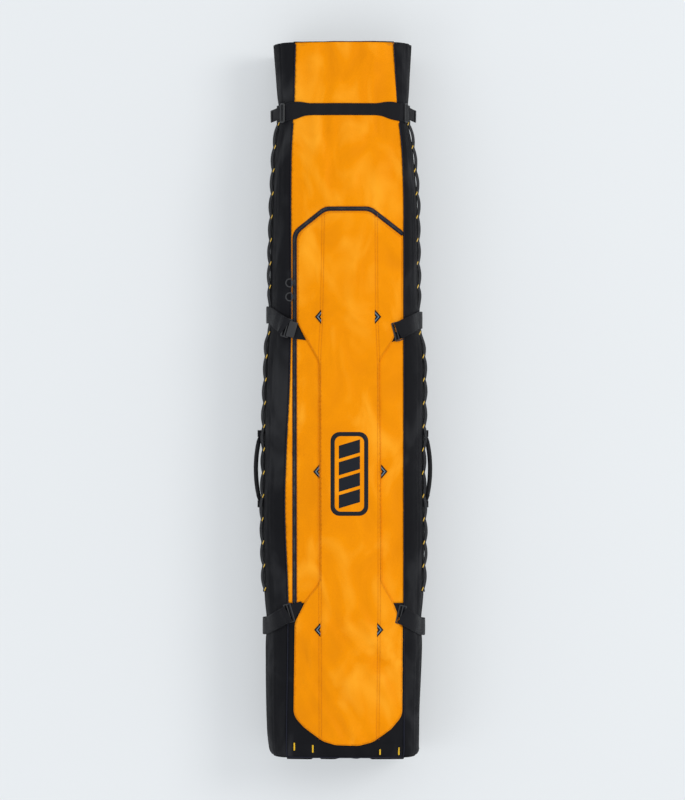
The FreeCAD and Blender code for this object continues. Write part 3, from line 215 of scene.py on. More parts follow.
def new_object(name, points, faces, material, uvs=None):
    mesh = bpy.data.meshes.new(name)
    mesh.from_pydata([tuple(p) for p in points], [], faces)
    if uvs is not None:
        layer = mesh.uv_layers.new(name="cloth")
        for loop in mesh.loops:
            layer.data[loop.index].uv = uvs[loop.vertex_index]
    mesh.shade_smooth()
    mesh.update()
    made = bpy.data.objects.new(name, mesh)
    bpy.context.scene.collection.objects.link(made)
    if material is not None:
        mesh.materials.append(material)
    return made


def applied(piece):
    """Turns the piece's modifiers into its mesh."""
    graph = bpy.context.evaluated_depsgraph_get()
    mesh = bpy.data.meshes.new_from_object(piece.evaluated_get(graph))
    piece.modifiers.clear()
    piece.data = mesh
    return piece


def thicken(piece, thickness, inner=None):
    """Gives a sheet its thickness, inwards in millimetres, with an optional inner material."""
    if inner is not None:
        piece.data.materials.append(inner)
    solid = piece.modifiers.new("thickness", "SOLIDIFY")
    solid.thickness = thickness * MM
    solid.offset = -1
    solid.use_even_offset = False
    solid.use_rim = True
    if inner is not None:
        solid.material_offset = 1
    return applied(piece)


def bevelled(piece, width, segments=2, angle=35):
    bevel = piece.modifiers.new("bevel", "BEVEL")
    bevel.width = width * MM
    bevel.segments = segments
    bevel.limit_method = "ANGLE"
    bevel.angle_limit = math.radians(angle)
    bevel.harden_normals = False
    return applied(piece)


def smooth_by_angle(piece, degrees=40):
    """Smooth shading with sharp edges where faces meet at more than an angle."""
    mesh = bmesh.new()
    mesh.from_mesh(piece.data)
    for edge in mesh.edges:
        edge.smooth = len(edge.link_faces) == 2 and edge.calc_face_angle(0) < math.radians(degrees)
    mesh.to_mesh(piece.data)
    mesh.free()
    return piece


def grid_faces(rows, columns, closed=False):
    faces = []
    for r in range(rows - 1):
        for c in range(columns if closed else columns - 1):
            after = (c + 1) % columns
            faces.append((r * columns + c, r * columns + after,
                          (r + 1) * columns + after, (r + 1) * columns + c))
    return faces


def grid_piece(name, points, material, flip=False):
    """Sheet from an array of points [row][column], with a UV map in metres."""
    rows, columns, _ = points.shape
    faces = grid_faces(rows, columns)
    if flip:
        faces = [face[::-1] for face in faces]
    across = np.linalg.norm(np.diff(points, axis=1), axis=2).cumsum(axis=1)
    along = np.linalg.norm(np.diff(points, axis=0), axis=2).cumsum(axis=0)
    u = np.concatenate([np.zeros((rows, 1)), across], axis=1)
    v = np.concatenate([np.zeros((1, columns)), along], axis=0)
    uvs = np.stack([u, v], axis=-1).reshape(-1, 2)
    return new_object(name, points.reshape(-1, 3), faces, material, uvs)


def inside(points, outline):
    """Which plan points lie inside a closed outline."""
    x, y = points[:, 0], points[:, 1]
    odd = np.zeros(len(points), bool)
    corners = np.array(outline)
    for a, b in zip(corners, np.roll(corners, -1, axis=0)):
        crosses = (a[1] > y) != (b[1] > y)
        with np.errstate(divide="ignore", invalid="ignore"):
            at = (b[0] - a[0]) * (y - a[1]) / (b[1] - a[1]) + a[0]
        odd ^= crosses & (x < at)
    return odd


def dense(outline, spacing, closed=True):
    """Adds points along an outline so that none are further apart than the spacing."""
    points = []
    ends = outline[1:] + outline[:1] if closed else outline[1:]
    for a, b in zip(outline, ends):
        count = max(1, int(math.dist(a, b) / spacing))
        points += [(a[0] + (b[0] - a[0]) * i / count, a[1] + (b[1] - a[1]) * i / count)
                   for i in range(count)]
    if not closed:
        points.append(outline[-1])
    return points


def rounded(points, radius):
    """Polyline with its inner corners rounded."""
    result = [points[0]]
    for before, here, after in zip(points, points[1:], points[2:]):
        here_v = Vector(here)
        one, two = Vector(before) - here_v, Vector(after) - here_v
        half = one.angle(two) / 2
        reach = min(radius / math.tan(half), 0.45 * one.length, 0.45 * two.length)
        start, end = here_v + one.normalized() * reach, here_v + two.normalized() * reach
        for i in range(9):
            part = i / 8
            result.append(tuple((1 - part) ** 2 * start + 2 * part * (1 - part) * here_v
                                + part**2 * end))
    result.append(points[-1])
    return result


def shifted(points, distance):
    """Polyline moved sideways to its left by a distance, with mitred corners."""
    points = [Vector(p) for p in points]
    normals = []
    for a, b in zip(points, points[1:]):
        run = (b - a).normalized()
        normals.append(Vector((-run.y, run.x)))
    result = []
    for i, point in enumerate(points):
        one, two = normals[max(i - 1, 0)], normals[min(i, len(normals) - 1)]
        middle = (one + two).normalized()
        result.append(tuple(point + middle * (distance / max(middle.dot(one), 0.3))))
    return result


def clipped(path, limit):
    """The path up to where it passes x = limit."""
    kept = []
    for a, b in zip(path, path[1:]):
        kept.append(a)
        if b[0] > limit:
            part = (limit - a[0]) / (b[0] - a[0])
            kept.append((limit, a[1] + part * (b[1] - a[1])))
            return kept
    return kept + [path[-1]]


def zip_path(offset, limit):
    """Line along the zipper, moved outwards by an offset, from the lower left end to where it
    meets x = limit on the right."""
    return clipped(rounded(shifted(ZIP_LINE, offset), ZIP_RADIUS), limit)


def plan_sheet(name, outline, place, spacing, material, holes=()):
    """Triangulated sheet inside a plan outline; place(u, v) puts the points in space."""
    edge_rings = [dense(outline, spacing)] + [dense(list(hole), spacing) for hole in holes]
    ring = np.array(edge_rings[0])
    low, high = ring.min(0), ring.max(0)
    us = np.arange(low[0], high[0], spacing)
    vs = np.arange(low[1], high[1], spacing * 0.87)
    lattice = np.array([(u + (0.5 * spacing if row % 2 else 0), v)
                        for row, v in enumerate(vs) for u in us])
    keep = inside(lattice, ring)
    for hole in edge_rings[1:]:
        keep &= ~inside(lattice, np.array(hole))
    lattice = lattice[keep]
    borders = np.concatenate([np.array(r) for r in edge_rings])
    near = np.array([np.min(np.sum((borders - p) ** 2, axis=1)) for p in lattice])
    lattice = lattice[near > (0.45 * spacing) ** 2]
    verts = [Vector(p) for p in np.concatenate([borders, lattice])]
    edges, start = [], 0
    for border in edge_rings:
        count = len(border)
        edges += [(start + i, start + (i + 1) % count) for i in range(count)]
        start += count
    out_verts, _, faces, *_ = geometry.delaunay_2d_cdt(verts, edges, [], 1 if holes else 0, 1e-4)
    plan = np.array([tuple(v) for v in out_verts])
    centres = np.array([plan[list(face)].mean(0) for face in faces])
    keep = inside(centres, ring)
    for hole in edge_rings[1:]:
        keep &= ~inside(centres, np.array(hole))
    faces = [tuple(face) for face, kept in zip(faces, keep) if kept]
    first = [plan[i] for i in faces[0]]
    turn = np.cross(np.append(first[1] - first[0], 0), np.append(first[2] - first[0], 0))[2]
    if turn < 0:
        faces = [face[::-1] for face in faces]
    points = place(plan[:, 0], plan[:, 1])
    return new_object(name, points, faces, material, plan * MM)


def tube(name, path, radius, material, sides=10, closed=False):
    """Round tube along points in metres."""
    path = [Vector(p) for p in path]
    rings, uvs, along = [], [], 0.0
    up = Vector((0, 0, 1))
    for i, here in enumerate(path):
        before = path[i - 1] if i or closed else path[0]
        after = path[(i + 1) % len(path)] if i < len(path) - 1 or closed else path[-1]
        run = (after - before).normalized()
        side = run.cross(up)
        if side.length < 0.05:
            side = run.cross(Vector((1, 0, 0)))
        side.normalize()
        other = side.cross(run)
        size = radius[i] if hasattr(radius, "__len__") else radius
        for k in range(sides):
            angle = 2 * math.pi * k / sides
            rings.append(here + (side * math.cos(angle) + other * math.sin(angle)) * size * MM)
            uvs.append((2 * math.pi * size * MM * k / sides, along))
        along += (after - here).length
    faces = grid_faces(len(path), sides, closed=True)
    if closed:
        last = (len(path) - 1) * sides
        faces += [(last + k, last + (k + 1) % sides, (k + 1) % sides, k) for k in range(sides)]
    else:
        last = (len(path) - 1) * sides
        faces += [tuple(range(sides))[::-1], tuple(range(last, last + sides))]
    return new_object(name, rings, faces, material, uvs)


def joined(name, pieces):
    """Joins pieces into one mesh."""
    bpy.ops.object.select_all(action="DESELECT")
    for piece in pieces:
        piece.select_set(True)
    bpy.context.view_layer.objects.active = pieces[0]
    bpy.ops.object.join()
    whole = bpy.context.view_layer.objects.active
    whole.name = name
    whole.data.name = name
    return whole


def blocks(name, frames, size, material, pinch=0.25):
    """Many small pillow-shaped blocks, such as stitches and teeth: each frame is a centre and
    three axes, and size is the length, width and height in millimetres."""
    length, width, height = (s * MM / 2 for s in size)
    near = 1 - pinch
    corners = [(-1, -near, -near), (-1, near, -near), (-1, near, near), (-1, -near, near),
               (1, -near, -near), (1, near, -near), (1, near, near), (1, -near, near),
               (0, -1, -1), (0, 1, -1), (0, 1, 1), (0, -1, 1)]
    quads = [(3, 2, 1, 0), (4, 5, 6, 7)]
    for k in range(4):
        after = (k + 1) % 4
        quads += [(k, after, 8 + after, 8 + k), (8 + k, 8 + after, 4 + after, 4 + k)]
    points, faces = [], []
    for centre, one, two, three in frames:
        base = len(points)
        for a, b, c in corners:
            points.append(centre + one * (a * length) + two * (b * width) + three * (c * height))
        faces += [tuple(base + i for i in quad) for quad in quads]
    return new_object(name, points, faces, material)


def frames_along(path, pitch, up, start=0.0):
    """Frames spaced along a line of points: centre, run, across and up."""
    path = [Vector(p) for p in path]
    result, wanted, gone = [], start, 0.0
    for a, b in zip(path, path[1:]):
        step = (b - a).length
        while step > 0 and wanted <= gone + step:
            run = (b - a).normalized()
            across = Vector(up).cross(run).normalized()
            result.append((a + (b - a) * ((wanted - gone) / step), run, across,
                           run.cross(across).normalized()))
            wanted += pitch * MM
        gone += step
    return result


STITCH = (3.0, 0.7, 0.6)
STITCH_PITCH, STITCH_INSET = 4.0, 2.2


def stitches(name, lines, material, up=(0, 0, 1), lift=0.25):
    """Rows of thread stitches along lines of points in metres."""
    frames = []
    for line in lines:
        for centre, run, across, normal in frames_along(line, STITCH_PITCH, up):
            frames.append((centre + normal * lift * MM, run, across, normal))
    return blocks(name, frames, STITCH, material)


def box_mapped(piece):
    """UV map in metres, each face seen along its main axis."""
    layer = piece.data.uv_layers.get("cloth") or piece.data.uv_layers.new(name="cloth")
    for face in piece.data.polygons:
        flat = max(range(3), key=lambda axis: abs(face.normal[axis]))
        one, two = [axis for axis in range(3) if axis != flat]
        for loop in face.loop_indices:
            place = piece.data.vertices[piece.data.loops[loop].vertex_index].co
            layer.data[loop].uv = (place[one], place[two])
    return piece


def copied(node, body, slot, width, segments):
    """Puts in a piece with the shape of a CAD node, its edges rounded by a width in mm."""
    piece = bpy.data.objects.new(node, frame["nodes"][node].data.copy())
    bpy.context.scene.collection.objects.link(piece)
    piece.data.materials.clear()
    piece.data.materials.append(M[slot])
    mesh = bmesh.new()
    mesh.from_mesh(piece.data)
    bmesh.ops.remove_doubles(mesh, verts=mesh.verts, dist=1e-5)
    bmesh.ops.dissolve_limit(mesh, verts=mesh.verts, edges=mesh.edges, angle_limit=0.02)
    for face in mesh.faces:
        face.smooth = True
    mesh.to_mesh(piece.data)
    mesh.free()
    piece = smooth_by_angle(box_mapped(bevelled(piece, width, segments)))
    placed(piece, body, slot, node)


def placed(piece, body, slot, *nodes):
    """Fastens a piece to a body and hides the CAD nodes that it stands for; slot, its finish, is not
    used. Pieces for the bodies lid_cloth and over_hinge are not fastened to a body: their placement
    is only baked into their meshes."""
    if body == "lid_cloth":
        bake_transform(piece)
    elif body == "over_hinge":
        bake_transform(piece)
    else:
        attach(piece, body)
    if nodes:
        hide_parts(*nodes)


def grouped(name, pieces, body, slot):
    """Joins pieces into one that stands for the CAD node of the same name."""
    placed(joined(name, pieces), body, slot, name)


# ---- materials


def node(tree, kind, inputs=None, **settings):
    """Adds a shader node; an input is a value, a node (its first output) or a socket."""
    made = tree.nodes.new("ShaderNode" + kind)
    for key, value in settings.items():
        setattr(made, key, value)
    for key, value in (inputs or {}).items():
        if isinstance(value, bpy.types.Node):
            value = value.outputs[0]
        if isinstance(value, bpy.types.NodeSocket):
            tree.links.new(value, made.inputs[key])
        else:
            made.inputs[key].default_value = value
    return made


def maths(tree, operation, one, two=0.0):
    return node(tree, "Math", {0: one, 1: two}, operation=operation)


def stretched(tree, value, low, high, to_low=0.0, to_high=1.0):
    return node(tree, "MapRange", {"Value": value, "From Min": low, "From Max": high,
                                   "To Min": to_low, "To Max": to_high})


def between(tree, factor, low, high):
    """Colour between two colours."""
    mixed = node(tree, "Mix", {0: factor, 6: low, 7: high}, data_type="RGBA")
    return mixed.outputs[2]


def cloudy(tree, place, scale, detail=3.0):
    return node(tree, "TexNoise", {"Vector": place, "Scale": scale, "Detail": detail})


def shade(colour, factor):
    return tuple(min(1.0, c * factor) for c in colour) + (1.0,)


def wave(tree, value, period):
    """Sine of a length in metres, with a period in millimetres."""
    return maths(tree, "SINE", maths(tree, "MULTIPLY", value, 2 * math.pi / (period * MM)))


M = {}


def start_material(name, colour, mottle, patch=9.0):
    """Adds a material to M; returns its tree, shader, object coordinates and slightly uneven
    colour."""
    made = M[name] = bpy.data.materials.new(name)
    made.use_nodes = True
    made.diffuse_color = shade(colour, 1)
    tree = made.node_tree
    skin = tree.nodes["Principled BSDF"]
    place = node(tree, "TexCoord").outputs["Object"]
    broad = stretched(tree, cloudy(tree, place, patch), 0.3, 0.7)
    fine = stretched(tree, cloudy(tree, place, 420.0, 2.0), 0.25, 0.75)
    factor = maths(tree, "ADD", maths(tree, "MULTIPLY", broad, 0.6),
                   maths(tree, "MULTIPLY", fine, 0.4))
    tone = between(tree, factor, shade(colour, 1 - mottle), shade(colour, 1 + mottle))
    return tree, skin, place, tone


def worn(tree, place, tone, colour, amount):
    """Lighter rubbed edges and ridges."""
    edge = stretched(tree, node(tree, "NewGeometry").outputs["Pointiness"], 0.54, 0.66)
    patchy = stretched(tree, cloudy(tree, place, 45.0, 4.0), 0.42, 0.72)
    rubbed = maths(tree, "MULTIPLY", maths(tree, "MULTIPLY", edge, patchy), amount)
    rubbed.use_clamp = True
    return between(tree, rubbed, tone, shade(colour, 1))


def cloth(name, colour, weave, depth, roughness, sheen=0.0, mottle=0.1, coat=0.0, ribbed=False,
          wear=0.25, wear_colour=(0.12, 0.12, 0.12), gloss=0.22, folds=0.0):
    """Woven fabric: weave is the thread pitch and depth the relief of the weave, in mm. folds is
    how strongly it is rumpled; when it is set, a painted highlight lightens the rumples' ridges and painted shade
    darkens their hollows."""
    tree, skin, place, tone = start_material(name, colour, mottle)
    plan = node(tree, "SeparateXYZ", {0: node(tree, "UVMap", uv_map="cloth")})
    across, along = plan.outputs[0], plan.outputs[1]
    if ribbed:
        ribs = maths(tree, "ABSOLUTE", wave(tree, across, 2 * weave))
        threads = maths(tree, "ADD", ribs, maths(
            tree, "MULTIPLY", wave(tree, maths(tree, "ADD", along, maths(
                tree, "MULTIPLY", across, 0.6)), 0.8 * weave), 0.3))
    else:
        threads = maths(tree, "MULTIPLY", wave(tree, across, weave), wave(tree, along, weave))
    uneven = maths(tree, "ADD", threads, maths(
        tree, "MULTIPLY", cloudy(tree, place, 900.0, 2.0), 0.6))
    turned = node(tree, "Mapping", {"Vector": place, "Rotation": (0.0, 0.0, 0.5),
                                    "Scale": (1.0, 0.55, 1.0)})
    rumples = node(tree, "TexNoise", {"Vector": turned, "Scale": 11.0, "Detail": 2.5,
                                      "Distortion": 0.7})
    rumpled = node(tree, "Bump", {"Strength": folds, "Distance": 0.016, "Height": rumples})
    crumple = node(tree, "Bump", {"Strength": 0.6, "Distance": 0.0012, "Normal": rumpled,
                                  "Height": cloudy(tree, place, 38.0, 4.0)})
    relief = node(tree, "Bump", {"Strength": 0.8, "Distance": depth * MM, "Height": uneven,
                                 "Normal": crumple})
    dark = stretched(tree, threads, -1.0, 0.4, 0.72, 1.0)
    woven = node(tree, "Mix", {0: 1.0, 6: tone, 7: node(tree, "CombineColor", {
        0: dark, 1: dark, 2: dark})}, data_type="RGBA", blend_type="MULTIPLY").outputs[2]
    # Painted light: where the rumple noise is high the colour is lightened as a painted highlight on the folds'
    # ridges, and where it is low it is darkened as painted shade in their hollows.
    if folds:
        painted_fold_highlight = stretched(tree, rumples, 0.50, 0.72, 0.0, 0.75)
        painted_fold_shade = stretched(tree, rumples, 0.50, 0.30, 0.0, 0.75)
        woven = between(tree, painted_fold_highlight, woven, shade([1.25 * c + 0.02 for c in colour], 1))
        woven = between(tree, painted_fold_shade, woven, shade(colour, 0.78))
    shown = worn(tree, place, woven, wear_colour, wear) if wear else woven
    tree.links.new(shown, skin.inputs["Base Color"])
    dull = stretched(tree, cloudy(tree, place, 30.0), 0.3, 0.7, roughness - 0.06, roughness + 0.06)
    tree.links.new(dull.outputs[0], skin.inputs["Roughness"])
    tree.links.new(relief.outputs[0], skin.inputs["Normal"])
    for name, value in (("Specular IOR Level", gloss), ("Sheen Weight", sheen),
                        ("Sheen Roughness", 0.4), ("Coat Weight", coat), ("Coat Roughness", 0.35)):
        skin.inputs[name].default_value = value


def moulded(name, colour, roughness, grain=0.05, wear=0.5, metallic=0.0, scratch=0.1,
            wear_colour=(0.22, 0.22, 0.22)):
    """Moulded plastic, rubber or metal: grain is the relief of the surface in mm."""
    tree, skin, place, tone = start_material(name, colour, 0.08, 25.0)
    long_marks = node(tree, "Mapping", {"Vector": place, "Scale": (900.0, 60.0, 900.0)})
    marks = stretched(tree, cloudy(tree, long_marks, 1.0, 3.0), 0.55, 0.75)
    pebble = cloudy(tree, place, 1400.0, 2.0)
    height = maths(tree, "SUBTRACT", pebble, maths(tree, "MULTIPLY", marks, 0.5))
    relief = node(tree, "Bump", {"Strength": 0.7, "Distance": grain * MM, "Height": height})
    tree.links.new(worn(tree, place, tone, wear_colour, wear), skin.inputs["Base Color"])
    gloss = maths(tree, "ADD", maths(tree, "MULTIPLY", marks, scratch),
                  stretched(tree, cloudy(tree, place, 60.0), 0.3, 0.7, roughness - 0.05,
                            roughness + 0.05))
    tree.links.new(gloss.outputs[0], skin.inputs["Roughness"])
    tree.links.new(relief.outputs[0], skin.inputs["Normal"])
    skin.inputs["Metallic"].default_value = metallic


ORANGE = (1.0, 0.305, 0.0)
DARK_ORANGE = (0.62, 0.17, 0.004)
BLACK = (0.0105, 0.0105, 0.0125)
NAVY = (0.006, 0.007, 0.018)

# folds also paints fold highlight and fold shade into the orange and black shells' colour.
cloth("shell_orange", ORANGE, 1.1, 0.05, 0.5, mottle=0.06, wear=0.06,
      wear_colour=(1.0, 0.42, 0.05), gloss=0.05, folds=0.6)
cloth("shell_black", BLACK, 1.5, 0.10, 0.66, mottle=0.2, gloss=0.05, wear=0.08,
      wear_colour=(0.05, 0.05, 0.055), folds=0.5)
cloth("lining", (0.055, 0.055, 0.06), 0.7, 0.04, 0.7, sheen=0.1, mottle=0.1, wear=0.1)
cloth("webbing_black", (0.009, 0.009, 0.011), 1.7, 0.28, 0.56, sheen=0.02, mottle=0.15,
      ribbed=True, wear=0.12, gloss=0.1)
cloth("piping_black", NAVY, 0.8, 0.08, 0.6, sheen=0.02, wear=0.2)
cloth("zipper_tape", NAVY, 0.6, 0.06, 0.66, sheen=0.02, ribbed=True, wear=0.1)
moulded("zipper_coil", (0.018, 0.019, 0.024), 0.38, 0.02, wear=0.3)
moulded("zipper_metal", (0.035, 0.035, 0.038), 0.32, 0.02, metallic=0.85, wear=0.9,
        wear_colour=(0.5, 0.5, 0.5))
cloth("pull_cord", (0.035, 0.035, 0.038), 1.1, 0.25, 0.5, gloss=0.4)
moulded("buckle_black", (0.012, 0.012, 0.014), 0.4, 0.05, wear=0.2, wear_colour=(0.12, 0.12, 0.13))
cloth("loop_grey", (0.15, 0.21, 0.27), 0.9, 0.10, 0.6, wear=0.2, wear_colour=(0.5, 0.55, 0.6))
cloth("thread_yellow", (0.95, 0.55, 0.02), 0.8, 0.2, 0.5, sheen=0.2, ribbed=True, wear=0.0)
cloth("thread_black", (0.02, 0.02, 0.024), 0.5, 0.05, 0.5, wear=0.0)
cloth("thread_orange", DARK_ORANGE, 0.5, 0.05, 0.5, wear=0.0)
cloth("mesh_black", (0.03, 0.03, 0.03), 3.0, 0.8, 0.6, sheen=0.1)
cloth("handle_grip", (0.010, 0.010, 0.012), 1.4, 0.25, 0.5, sheen=0.02)
moulded("chassis_plastic", (0.02, 0.02, 0.022), 0.45, 0.12, scratch=0.2)
moulded("rail_plastic", (0.022, 0.022, 0.024), 0.34, 0.05, scratch=0.4)
moulded("tyre_rubber", (0.022, 0.022, 0.022), 0.72, 0.10, wear=0.7)
moulded("hub_plastic", (0.07, 0.07, 0.075), 0.34, 0.04)
moulded("steel", (0.55, 0.55, 0.57), 0.26, 0.02, metallic=1.0, wear=0.2,
        wear_colour=(0.8, 0.8, 0.8))
moulded("board_plastic", (0.07, 0.07, 0.07), 0.5, 0.08)
cloth("foam_grey", (0.16, 0.16, 0.17), 1.0, 0.08, 0.8, sheen=0.2)
cloth("print_black", (0.012, 0.014, 0.020), 1.1, 0.03, 0.4, coat=0.05, gloss=0.1, mottle=0.05,
      wear=0.0)

for entry in frame["record"]["subparts"]:
    held = frame["nodes"][entry["node"]]
    held.data.materials.clear()
    held.data.materials.append(M[entry["material_slot"]])

# ---- camera, floor and light

# The camera looks straight down, a hair off the bag's middle. Its view is VIEW_HEIGHT high at the
# level VIEW_LEVEL.
CAMERA_HEIGHT, VIEW_HEIGHT, VIEW_LEVEL, SENSOR, ASIDE = 14.0, 2.12, 0.235, 36.0, -0.0013
camera = bpy.data.objects.new("camera", bpy.data.cameras.new("camera"))
bpy.context.scene.collection.objects.link(camera)
camera.location = (ASIDE, ASIDE, CAMERA_HEIGHT)
camera.data.sensor_width = SENSOR
camera.data.lens = SENSOR * (CAMERA_HEIGHT - VIEW_LEVEL) / VIEW_HEIGHT
camera.data.clip_end = 100
bpy.context.scene.camera = camera

FLOOR_HALF = 20.0
corners = [(x * FLOOR_HALF, y * FLOOR_HALF, 0) for x, y in ((-1, -1), (1, -1), (1, 1), (-1, 1))]
floor = new_object("floor", corners, [(0, 1, 2, 3)], None)
tree, skin, place, tone = start_material("backdrop", (0.46, 0.47, 0.48), 0.008, 1.5)
tree.links.new(tone, skin.inputs["Base Color"])
skin.inputs["Emission Color"].default_value = (0.80, 0.82, 0.835, 1)
skin.inputs["Emission Strength"].default_value = 0.42
skin.inputs["Roughness"].default_value = 0.95
floor.data.materials.append(M["backdrop"])


def area_light(name, place, aim, size, power, colour):
    light = bpy.data.objects.new(name, bpy.data.lights.new(name, "AREA"))
    bpy.context.scene.collection.objects.link(light)
    light.data.shape = "DISK"
    light.data.size = size
    light.data.energy = power
    light.data.color = colour
    light.location = place
    light.rotation_euler = (Vector(aim) - Vector(place)).to_track_quat("-Z", "Y").to_euler()
    light.visible_camera = False


area_light("key", (9.0, 3.5, 9.5), (0, 0, 0.1), 5.5, 560, (1.0, 0.99, 0.97))
area_light("fill", (-6.0, -3.0, 8.0), (0, 0, 0.1), 5.0, 120, (0.93, 0.96, 1.0))
world = bpy.data.worlds.new("studio")
world.use_nodes = True
sky = world.node_tree.nodes["Background"]
sky.inputs["Color"].default_value = (0.90, 0.94, 0.97, 1)
sky.inputs["Strength"].default_value = 0.85
bpy.context.scene.world = world
bpy.context.scene.view_settings.view_transform = "Standard"

# ---- shell: sides, back and ends

TURNS = np.concatenate([np.linspace(0, 1, 25), np.linspace(1, 2, 19)[1:]])
FRONT_THICK, WALL, TUCK = 4.0, 5.0, 1.2
CORNER_LEAN = 0.045
END_INSET = 2.2
PLAN_STEP = 8.0
HEEL_LINE = HEEL + HEEL_CHAMFER + BACK_HEIGHT


def end_drop(z, middle=0.0):
    """How far the top end lies behind its upper edge: a plane in the middle, rounder at the sides."""
    plane = END_LEAN * (END_REFERENCE - z)
    corner = CORNER_LEAN * (END_REFERENCE - z)
    corner = corner + np.maximum(MID_HEIGHT - z, 0) * (END_LEAN - CORNER_LEAN) * (
        END_REFERENCE - BACK_HEIGHT) / (MID_HEIGHT - BACK_HEIGHT)
    return middle * plane + (1 - middle) * corner


def leaned(points):
    """Moves the top of the bag to the leaning end plane, and keeps the wheel end off the chassis."""
    x, y, z = (points[..., i] / MM for i in range(3))
    y = y - ramp(y, 800, CREST) * end_drop(z)
    y = np.maximum(y, HEEL_LINE + 8 - z)
    return np.stack([x, y, z], axis=-1) * MM


def gusset(side, name):
    ys = np.concatenate([np.arange(HEEL + 5, CREST, 6.0), [CREST]])
    turns, places = np.meshgrid(TURNS, ys)
    points = leaned(on_side(side, turns, places))
    piece = grid_piece(name, points, M["shell_black"], flip=side < 0)
    thicken(piece, WALL, M["lining"])
    placed(piece, "root", "shell_black", name)


gusset(-1, "left_gusset")
gusset(1, "right_gusset")


def end_shape(place):
    """Grid of x and z across an end of the bag, from the front edge down to the back."""
    rows = TURNS
    left = on_side(-1, rows, np.full(len(rows), place)) / MM
    right = on_side(1, rows, np.full(len(rows), place)) / MM
    across = np.linspace(0, 1, 49)[None, :]
    x = left[:, :1] + (right[:, :1] - left[:, :1]) * across
    z = left[:, 2:] + (right[:, 2:] - left[:, 2:]) * across
    front = on_front(x[0], np.full(49, place))[..., 2] / MM
    arch = front - z[0]
    z = z + arch[None, :] * ((1 - np.clip(rows, 0, 1)) ** 1.5)[:, None]
    z[0] -= TUCK
    bulge = np.sin(np.pi * across) ** 0.7 * np.sin(np.pi * np.clip(rows / 2, 0, 1))[:, None] ** 0.7
    return x, z, bulge


def top_end():
    x, z, bulge = end_shape(CREST)
    y = CREST - END_INSET - end_drop(z, 1 - ramp(np.abs(x), 95, 165))
    y = y + bulge * (1.0 + 0.8 * rough(x / 60, z / 50, 3))
    piece = grid_piece("top_end_panel", np.stack([x, y, z], axis=-1) * MM, M["shell_black"])
    thicken(piece, WALL, M["lining"])
    placed(piece, "root", "shell_black", "top_end_panel")


# The moulded wheel base behind which the cloth of the wheel end is tucked.
MOULDED_TOP, MOULDED_HALF, CHAMFER_TOP, MOULDED_GAP = 118, 166, 66, 2.5


def base_end():
    """Fabric of the wheel end, above the moulded wheel base and beside it."""
    x, z, bulge = end_shape(HEEL)
    y = HEEL + 0.8 * (1 - bulge)
    covered = ((z < MOULDED_TOP) & (np.abs(x) < MOULDED_HALF)) | (z < CHAMFER_TOP)
    y = np.where(covered, HEEL + MOULDED_GAP, y)
    piece = grid_piece("base_end_panel", np.stack([x, y, z], axis=-1) * MM, M["shell_black"],
                       flip=True)
    mesh = bmesh.new()
    mesh.from_mesh(piece.data)
    hidden = []
    for face in mesh.faces:
        x, _, z = face.calc_center_median() / MM
        if z < CHAMFER_TOP - 4 or (z < MOULDED_TOP - 12 and abs(x) < MOULDED_HALF - 9):
            hidden.append(face)
    bmesh.ops.delete(mesh, geom=hidden, context="FACES")
    mesh.to_mesh(piece.data)
    mesh.free()
    thicken(piece, WALL - 0.6, M["lining"])
    placed(piece, "root", "shell_black", "base_end_panel")


def back_panel():
    xs = np.linspace(-BACK_HALF, BACK_HALF, 41)
    ys = np.arange(-800, 926, 8.0)
    x, y = np.meshgrid(xs, ys)
    off_edge = np.clip((BACK_HALF - np.abs(x)) / 30, 0, 1)
    z = BACK_HEIGHT + off_edge * (0.8 + 0.9 * rough(x / 70, y / 90, 4.0))
    points = leaned(np.stack([x, y, z], axis=-1) * MM)
    piece = grid_piece("back_panel", points, M["shell_black"], flip=True)
    thicken(piece, WALL - 1, M["lining"])
    placed(piece, "root", "shell_black", "back_panel")


top_end()
base_end()
back_panel()

# ---- front cloth


def seam_line(side, low, high):
    """Plan points along a front seam."""
    count = max(2, int(abs(high - low) / PLAN_STEP))
    return [(side * float(SEAM_X[side](y)), float(y)) for y in np.linspace(low, high, count)]


def front_top(x):
    """Place of the front's top edge, on the leaning end."""
    return CREST + END_LEAN * (float(front_height(x, CREST)) - END_REFERENCE)


def front_sheet(name, outline, material, lift, thickness, spacing=PLAN_STEP, inner=None):
    """Sheet of the front cloth inside a plan outline. Its top surface is lifted in mm, by a number
    or by a function of the plan place."""
    def place(x, y):
        return on_front(x, y, lift(x, y) if callable(lift) else lift)
    piece = plan_sheet(name, outline, place, spacing, material)
    return thicken(piece, thickness, inner)


def shell_sheet(name, outline, body, slot, lift=0, spacing=PLAN_STEP):
    """Padded part of the front, with its lining."""
    piece = front_sheet(name, outline, M[slot], lift, FRONT_THICK, spacing, M["lining"])
    placed(piece, body, slot, name)


def surround():
    crest = [(x, front_top(x)) for x in np.linspace(-float(SEAM_X[-1](CREST)),
                                                    float(SEAM_X[1](CREST)), 30)]
    left = seam_line(-1, ZIP_BOTTOM - 0.5, front_top(-127))[:-1]
    outer = zip_path(FRAME_TAPE, 161.0)
    right = seam_line(1, outer[-1][1] + 3, front_top(135))[:-1]
    outline = left + crest + right[::-1] + outer[::-1]
    shell_sheet("front_surround", outline[::-1], "root", "shell_orange")


HEM = -912


def base_panel():
    """Black cloth at the foot, pressed in along its hem."""
    low = HEEL + 0.5
    outline = seam_line(1, low, ZIP_BOTTOM - 0.5) + seam_line(-1, ZIP_BOTTOM - 0.5, low)
    shell_sheet("front_base_panel", outline, "root", "shell_black",
                lambda x, y: -1.6 * bell(y - HEM, 3.0) - 1.0 * bell(y - HEM - 9, 2.5), 4.0)


LID_RIGHT = 160.6


